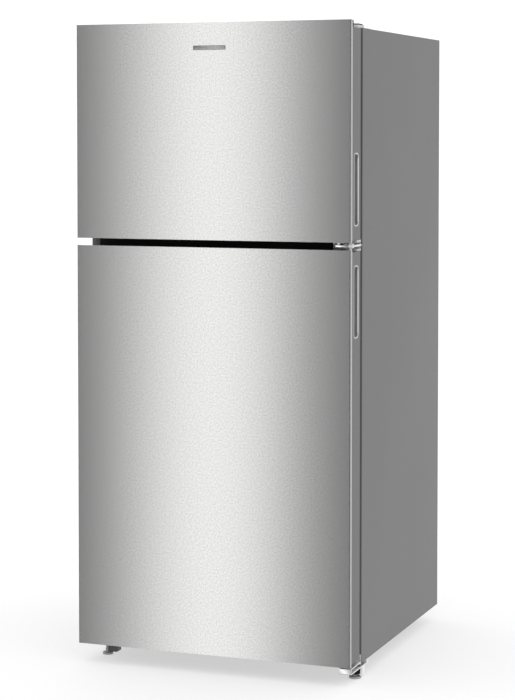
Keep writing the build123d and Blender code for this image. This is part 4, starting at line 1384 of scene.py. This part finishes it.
@dataclass
class FreshFoodInside(Assembly):
    """The shelves, crispers, air duct, controls and lamp of the fresh-food space."""

    knob: Place = (-60.0, -200.0, 1057.0)
    dial_radius: float = 17.3
    rib_step: float = 6.5
    rib_count: int = 18

    def build(self) -> None:
        """Builds and dresses the fresh-food space."""
        self.dress_nodes("liner_white", "fridge_liner", "shelf_supports")
        self.dress_nodes("toughened_glass", "shelf_glass")
        self.swap("shelf_trims", "part_white", Body.CABINET, 1.0, 3)
        self.swap("air_duct", "part_white", Body.CABINET, 1.0, 3)
        self.swap("control_housing", "part_white", Body.CABINET, 1.0, 3)
        self.swap("switch_plunger", "tab_grey", Body.PLUNGER, 0.4)
        for side, body in (("left", Body.LEFT_CRISPER), ("right", Body.RIGHT_CRISPER)):
            self.swap(f"{side}_crisper", "clear_plastic", body, 0.8, 3)
            self.pull(side, body)
        self.lens()
        self.dial()

    def pull(self, side: str, body: Body) -> None:
        """A satin strip on a crisper's handle.

        Args:
            side: left or right.
            body: The crisper's body.
        """
        low, high = self.span(f"{side}_crisper")
        strip = Bench.block(
            f"{side}_crisper_strip",
            (low.x + 14, low.y - 0.25, high.z - 19),
            (high.x - 14, low.y + 0.9, high.z - 7),
        )
        Bench.pick_faces(strip, lambda face: face.normal.y < -0.9)
        Bench.inset(2.2)
        Bench.inset(0.6, -0.15)
        Bench.clear()
        Bench.soften(strip, 0.2, 2)
        self.hand_over(strip, "rim_grey", body)

    def lens(self) -> None:
        """The lamp's frosted lens with prism ribs across it."""
        low, high = self.span("light_lens")
        lens = Bench.cad_copy("light_lens", 0.6)
        self.hand_over(lens, "frosted_lens", Body.CABINET, ("light_lens",))
        rib = Bench.block(
            "lens_ribs", (low.x + 6, low.y + 8, low.z - 0.7), (low.x + 10, high.y - 8, low.z + 0.3)
        )
        Bench.soften(rib, 0.45, 2)
        ribs = Bench.repeat(rib, (self.rib_step, 0, 0), self.rib_count)
        self.hand_over(ribs, "frosted_lens", Body.CABINET)

    def dial(self) -> None:
        """The temperature knob, its pointer and the marks round it."""
        self.swap("temperature_knob", "grip_grey", Body.KNOB, 0.6, 3)
        x, y, z = self.knob
        front = self.span("temperature_knob")[0].y
        line = Bench.block("knob_pointer", (x - 0.7, front - 0.15, z + 4), (x + 0.7, front + 0.6, z + 12))
        Bench.soften(line, 0.12)
        self.hand_over(line, "part_white", Body.KNOB)
        marks = []
        for n in range(7):
            turn = math.radians(-135 + 45 * n)
            across, up = self.dial_radius * math.sin(turn), self.dial_radius * math.cos(turn)
            place = (x + across, y - 0.4, z + up)
            marks.append(self.number(str(n + 1), place))
        self.hand_over(Bench.join("dial_numbers", marks), "grip_grey", Body.CABINET)

    @staticmethod
    def number(text: str, place: Place) -> bpy.types.Object:
        """One raised number of the dial.

        Args:
            text: The number.
            place: Its centre in millimetres.

        Returns:
            The number as a mesh.
        """
        Bench.clear()
        bpy.ops.object.text_add(
            location=[value * MM for value in place], rotation=(math.pi / 2, 0, 0)
        )
        word = bpy.context.object
        word.data.body = text
        word.data.align_x = word.data.align_y = "CENTER"
        word.data.size = 5.2 * MM
        word.data.extrude = 0.35 * MM
        word.data.resolution_u = 3
        bpy.ops.object.convert(target="MESH")
        return Bench.settle(f"dial_number_{text}")


@dataclass
class MachineSpace(Assembly):
    """The compressor and what stands beside it behind the rear cover."""

    middle: tuple[float, float] = (190.0, 285.0)
    can: float = 78.0
    weld_low: float = 146.0
    weld_height: float = 7.0
    weld_wall: float = 4.0
    box_half: float = 22.0
    box_z: tuple[float, float] = (108.0, 158.0)

    def build(self) -> None:
        """Builds and dresses the machine space."""
        self.dress_nodes("compressor_black", "compressor")
        self.dress_nodes("copper", "refrigerant_lines")
        self.swap("compressor_mounts", "black_rubber", Body.CABINET, 1.0, 3)
        self.swap("drain_pan", "dark_plastic", Body.CABINET, 0.8, 3)
        self.seam()
        self.terminals()

    def seam(self) -> None:
        """The rolled weld round the compressor's can."""
        x, y = self.middle
        seat, radius = (x, y, self.weld_low), self.can + 2.0
        ring = Bench.disc("compressor_weld", seat, Axis.Z, radius, self.weld_height, 72)
        Bench.open_ring(ring, Axis.Z, self.weld_wall)
        Bench.clear()
        Bench.outward(ring)
        Bench.soften(ring, 1.6, 4)
        self.hand_over(ring, "compressor_black", Body.CABINET)

    def terminals(self) -> None:
        """The terminal box on the can's left side, with a sunk lid."""
        x, y = self.middle
        low, high = self.box_z
        box = Bench.block(
            "terminal_box",
            (x - self.can - 24, y - self.box_half, low),
            (x - self.can + 8, y + self.box_half, high),
        )
        Bench.soften(box, 3.0, 4)
        Bench.pick_faces(box, lambda face: face.normal.x < -0.99)
        Bench.inset(3.0)
        Bench.inset(0.6, -1.0)
        Bench.clear()
        self.hand_over(box, "dark_plastic", Body.CABINET)


# ---------------------------------------------------------------- studio


@dataclass(frozen=True)
class Glow:
    """A card's light, brightest on one line and fading to both sides."""

    name: str
    stops: tuple[tuple[float, float], ...]
    strength: float

    def make(self, start: float, end: float) -> bpy.types.Material:
        """Builds the material.

        Args:
            start: Where the first stop lies along X, in metres.
            end: Where the last stop lies.

        Returns:
            The finished material.
        """
        work = Shader(self.name)
        here = work.node("ShaderNodeTexCoord")
        apart = work.node("ShaderNodeSeparateXYZ")
        work.link(here.outputs["Object"], apart.inputs["Vector"])
        along = work.ramp(apart.outputs["X"], start, end, 0.0, 1.0)
        tone = work.node("ShaderNodeValToRGB")
        tone.color_ramp.interpolation = "B_SPLINE"
        points = tone.color_ramp.elements
        while len(points) < len(self.stops):
            points.new(0.5)
        for point, (place, level) in zip(points, self.stops):
            point.position = place
            point.color = (level, level, level, 1.0)
        work.link(along, tone.inputs["Fac"])
        work.link(tone.outputs["Color"], work.shader.inputs["Emission Color"])
        work.set(Base_Color=(0.0, 0.0, 0.0, 1.0), Roughness=1.0, Specular_IOR_Level=0.0)
        work.set(Emission_Strength=self.strength)
        work.material.cycles.emission_sampling = "NONE"
        return work.material


@dataclass
class Studio:
    """The floor, the surround, the front card and the camera."""

    eye: Place = (1.9529, -5.2156, 1.3774)
    pitch: float = -2.622
    yaw: float = 20.758
    lens: float = 105.289
    rise: float = -0.17
    card: tuple[float, float, float] = (-2.45, 0.85, -2.5)
    lift: float = 0.55
    lobes: tuple[tuple[Place, float, float, float], ...] = (
        ((0.62, 0.78, 0.0), 0.25, 0.85, 0.62),
        ((0.80, -0.60, 0.0), 0.84, 0.97, 0.50),
        ((-0.94, -0.34, 0.0), 0.72, 0.96, 0.50),
        ((-0.40, 0.92, 0.0), 0.60, 0.95, 0.40),
    )
    glow: tuple[tuple[float, float], ...] = (
        (0.0, 0.0),
        (0.34, 0.0),
        (0.41, 0.48),
        (0.472, 0.86),
        (0.54, 0.72),
        (0.602, 0.0),
        (1.0, 0.0),
    )
    shine: float = 2.45

    def build(self) -> None:
        """Sets up everything round the refrigerator."""
        self.floor()
        self.sky()
        self.front_card()
        self.camera()

    def floor(self) -> None:
        """A wide pale floor, kept out of reflections."""
        Bench.clear()
        bpy.ops.mesh.primitive_plane_add(size=60)
        floor = Bench.settle("studio_floor")
        work = Shader("studio_floor")
        cloud = work.noise((0.6, 0.6, 0.6), 2.0, 0.5)
        colour = work.blend(cloud, (0.46, 0.46, 0.46), (0.48, 0.48, 0.48))
        work.link(colour, work.shader.inputs["Base Color"])
        work.set(Roughness=0.9, Specular_IOR_Level=0.1)
        work.set(Emission_Color=(1.0, 1.0, 1.0, 1.0), Emission_Strength=self.lift)
        work.material.cycles.emission_sampling = "NONE"
        floor.data.materials.append(work.material)
        floor.visible_glossy = False

    def front_card(self) -> None:
        """A tall glowing card in front of the doors, seen only in reflections."""
        left, right, front = self.card
        card = Bench.block("front_card", (left / MM, front / MM, -9000), (right / MM, front / MM + 1, 9000))
        Bench.pick_faces(card, lambda face: face.normal.y < 0.9)
        bpy.ops.mesh.delete(type="FACE")
        Bench.clear()
        card.data.materials.append(Glow("front_glow", self.glow, self.shine).make(left, right))
        card.visible_camera = card.visible_diffuse = card.visible_shadow = False
        card.visible_transmission = False

    def sky(self) -> None:
        """A white surround that shows softer and darker in reflections."""
        world = bpy.data.worlds.new("surround")
        bpy.context.scene.world = world
        world.use_nodes = True
        world.cycles.sampling_method = "NONE"
        tree = world.node_tree
        white = tree.nodes["Background"]
        white.inputs["Color"].default_value = (1.0, 1.0, 1.0, 1.0)
        white.inputs["Strength"].default_value = 1.10
        here = tree.nodes.new("ShaderNodeTexCoord")
        apart = tree.nodes.new("ShaderNodeSeparateXYZ")
        tree.links.new(here.outputs["Generated"], apart.inputs["Vector"])
        height = tree.nodes.new("ShaderNodeMapRange")
        height.inputs["From Min"].default_value = -1.0
        tree.links.new(apart.outputs["Z"], height.inputs["Value"])
        tone = tree.nodes.new("ShaderNodeValToRGB")
        tone.color_ramp.interpolation = "EASE"
        points = tone.color_ramp.elements
        for place, level in ((0.40, 0.062), (0.55, 0.062)):
            points.new(place).color = (level, level, level, 1.0)
        points[0].color = (0.20, 0.20, 0.20, 1.0)
        points[-1].color = (1.1, 1.1, 1.1, 1.0)
        tree.links.new(height.outputs["Result"], tone.inputs["Fac"])
        total = tone.outputs["Color"]
        for way, start, end, level in self.lobes:
            facing = tree.nodes.new("ShaderNodeVectorMath")
            facing.operation = "DOT_PRODUCT"
            facing.inputs[1].default_value = way
            tree.links.new(here.outputs["Generated"], facing.inputs[0])
            patch = tree.nodes.new("ShaderNodeMapRange")
            patch.interpolation_type = "SMOOTHSTEP"
            for key, number in (("From Min", start), ("From Max", end), ("To Max", level)):
                patch.inputs[key].default_value = number
            tree.links.new(facing.outputs["Value"], patch.inputs["Value"])
            both = tree.nodes.new("ShaderNodeVectorMath")
            both.operation = "ADD"
            tree.links.new(total, both.inputs[0])
            tree.links.new(patch.outputs["Result"], both.inputs[1])
            total = both.outputs["Vector"]
        shine = tree.nodes.new("ShaderNodeBackground")
        tree.links.new(total, shine.inputs["Color"])
        path = tree.nodes.new("ShaderNodeLightPath")
        mix = tree.nodes.new("ShaderNodeMixShader")
        tree.links.new(path.outputs["Is Glossy Ray"], mix.inputs["Fac"])
        tree.links.new(white.outputs["Background"], mix.inputs[1])
        tree.links.new(shine.outputs["Background"], mix.inputs[2])
        tree.links.new(mix.outputs["Shader"], tree.nodes["World Output"].inputs["Surface"])

    def camera(self) -> None:
        """The camera, a little above the middle and to the right."""
        data = bpy.data.cameras.new("camera")
        data.lens = self.lens
        data.sensor_width = 36.0
        data.sensor_fit = "AUTO"
        data.shift_y = self.rise
        stand = bpy.data.objects.new("camera", data)
        stand.location = self.eye
        stand.rotation_euler = (math.radians(90 + self.pitch), 0.0, math.radians(self.yaw))
        bpy.context.scene.collection.objects.link(stand)
        bpy.context.scene.camera = stand


def main() -> None:
    """Builds the refrigerator's looks, sub-assembly by sub-assembly, and the studio."""
    bpy.context.scene.view_settings.view_transform = "Standard"
    finishes = Finishes()
    Cabinet(finishes).build()
    Hinges(finishes).build()
    Feet(finishes).build()
    freezer_bins, fridge_bins = (1196.0, 1376.0), (346.0, 562.0, 738.0, 864.0)
    Door(
        finishes, "freezer_door", Body.FREEZER_DOOR, 1247.0, freezer_bins, (1113.6, 1120.9)
    ).build()
    Door(finishes, "fridge_door", Body.FRIDGE_DOOR, 966.0, fridge_bins, (1092.2, 1098.3)).build()
    DoorBins(finishes).build()
    Badge(finishes).build()
    FreezerInside(finishes).build()
    FreshFoodInside(finishes).build()
    MachineSpace(finishes).build()
    Studio().build()


if __name__ == "__main__":
    main()
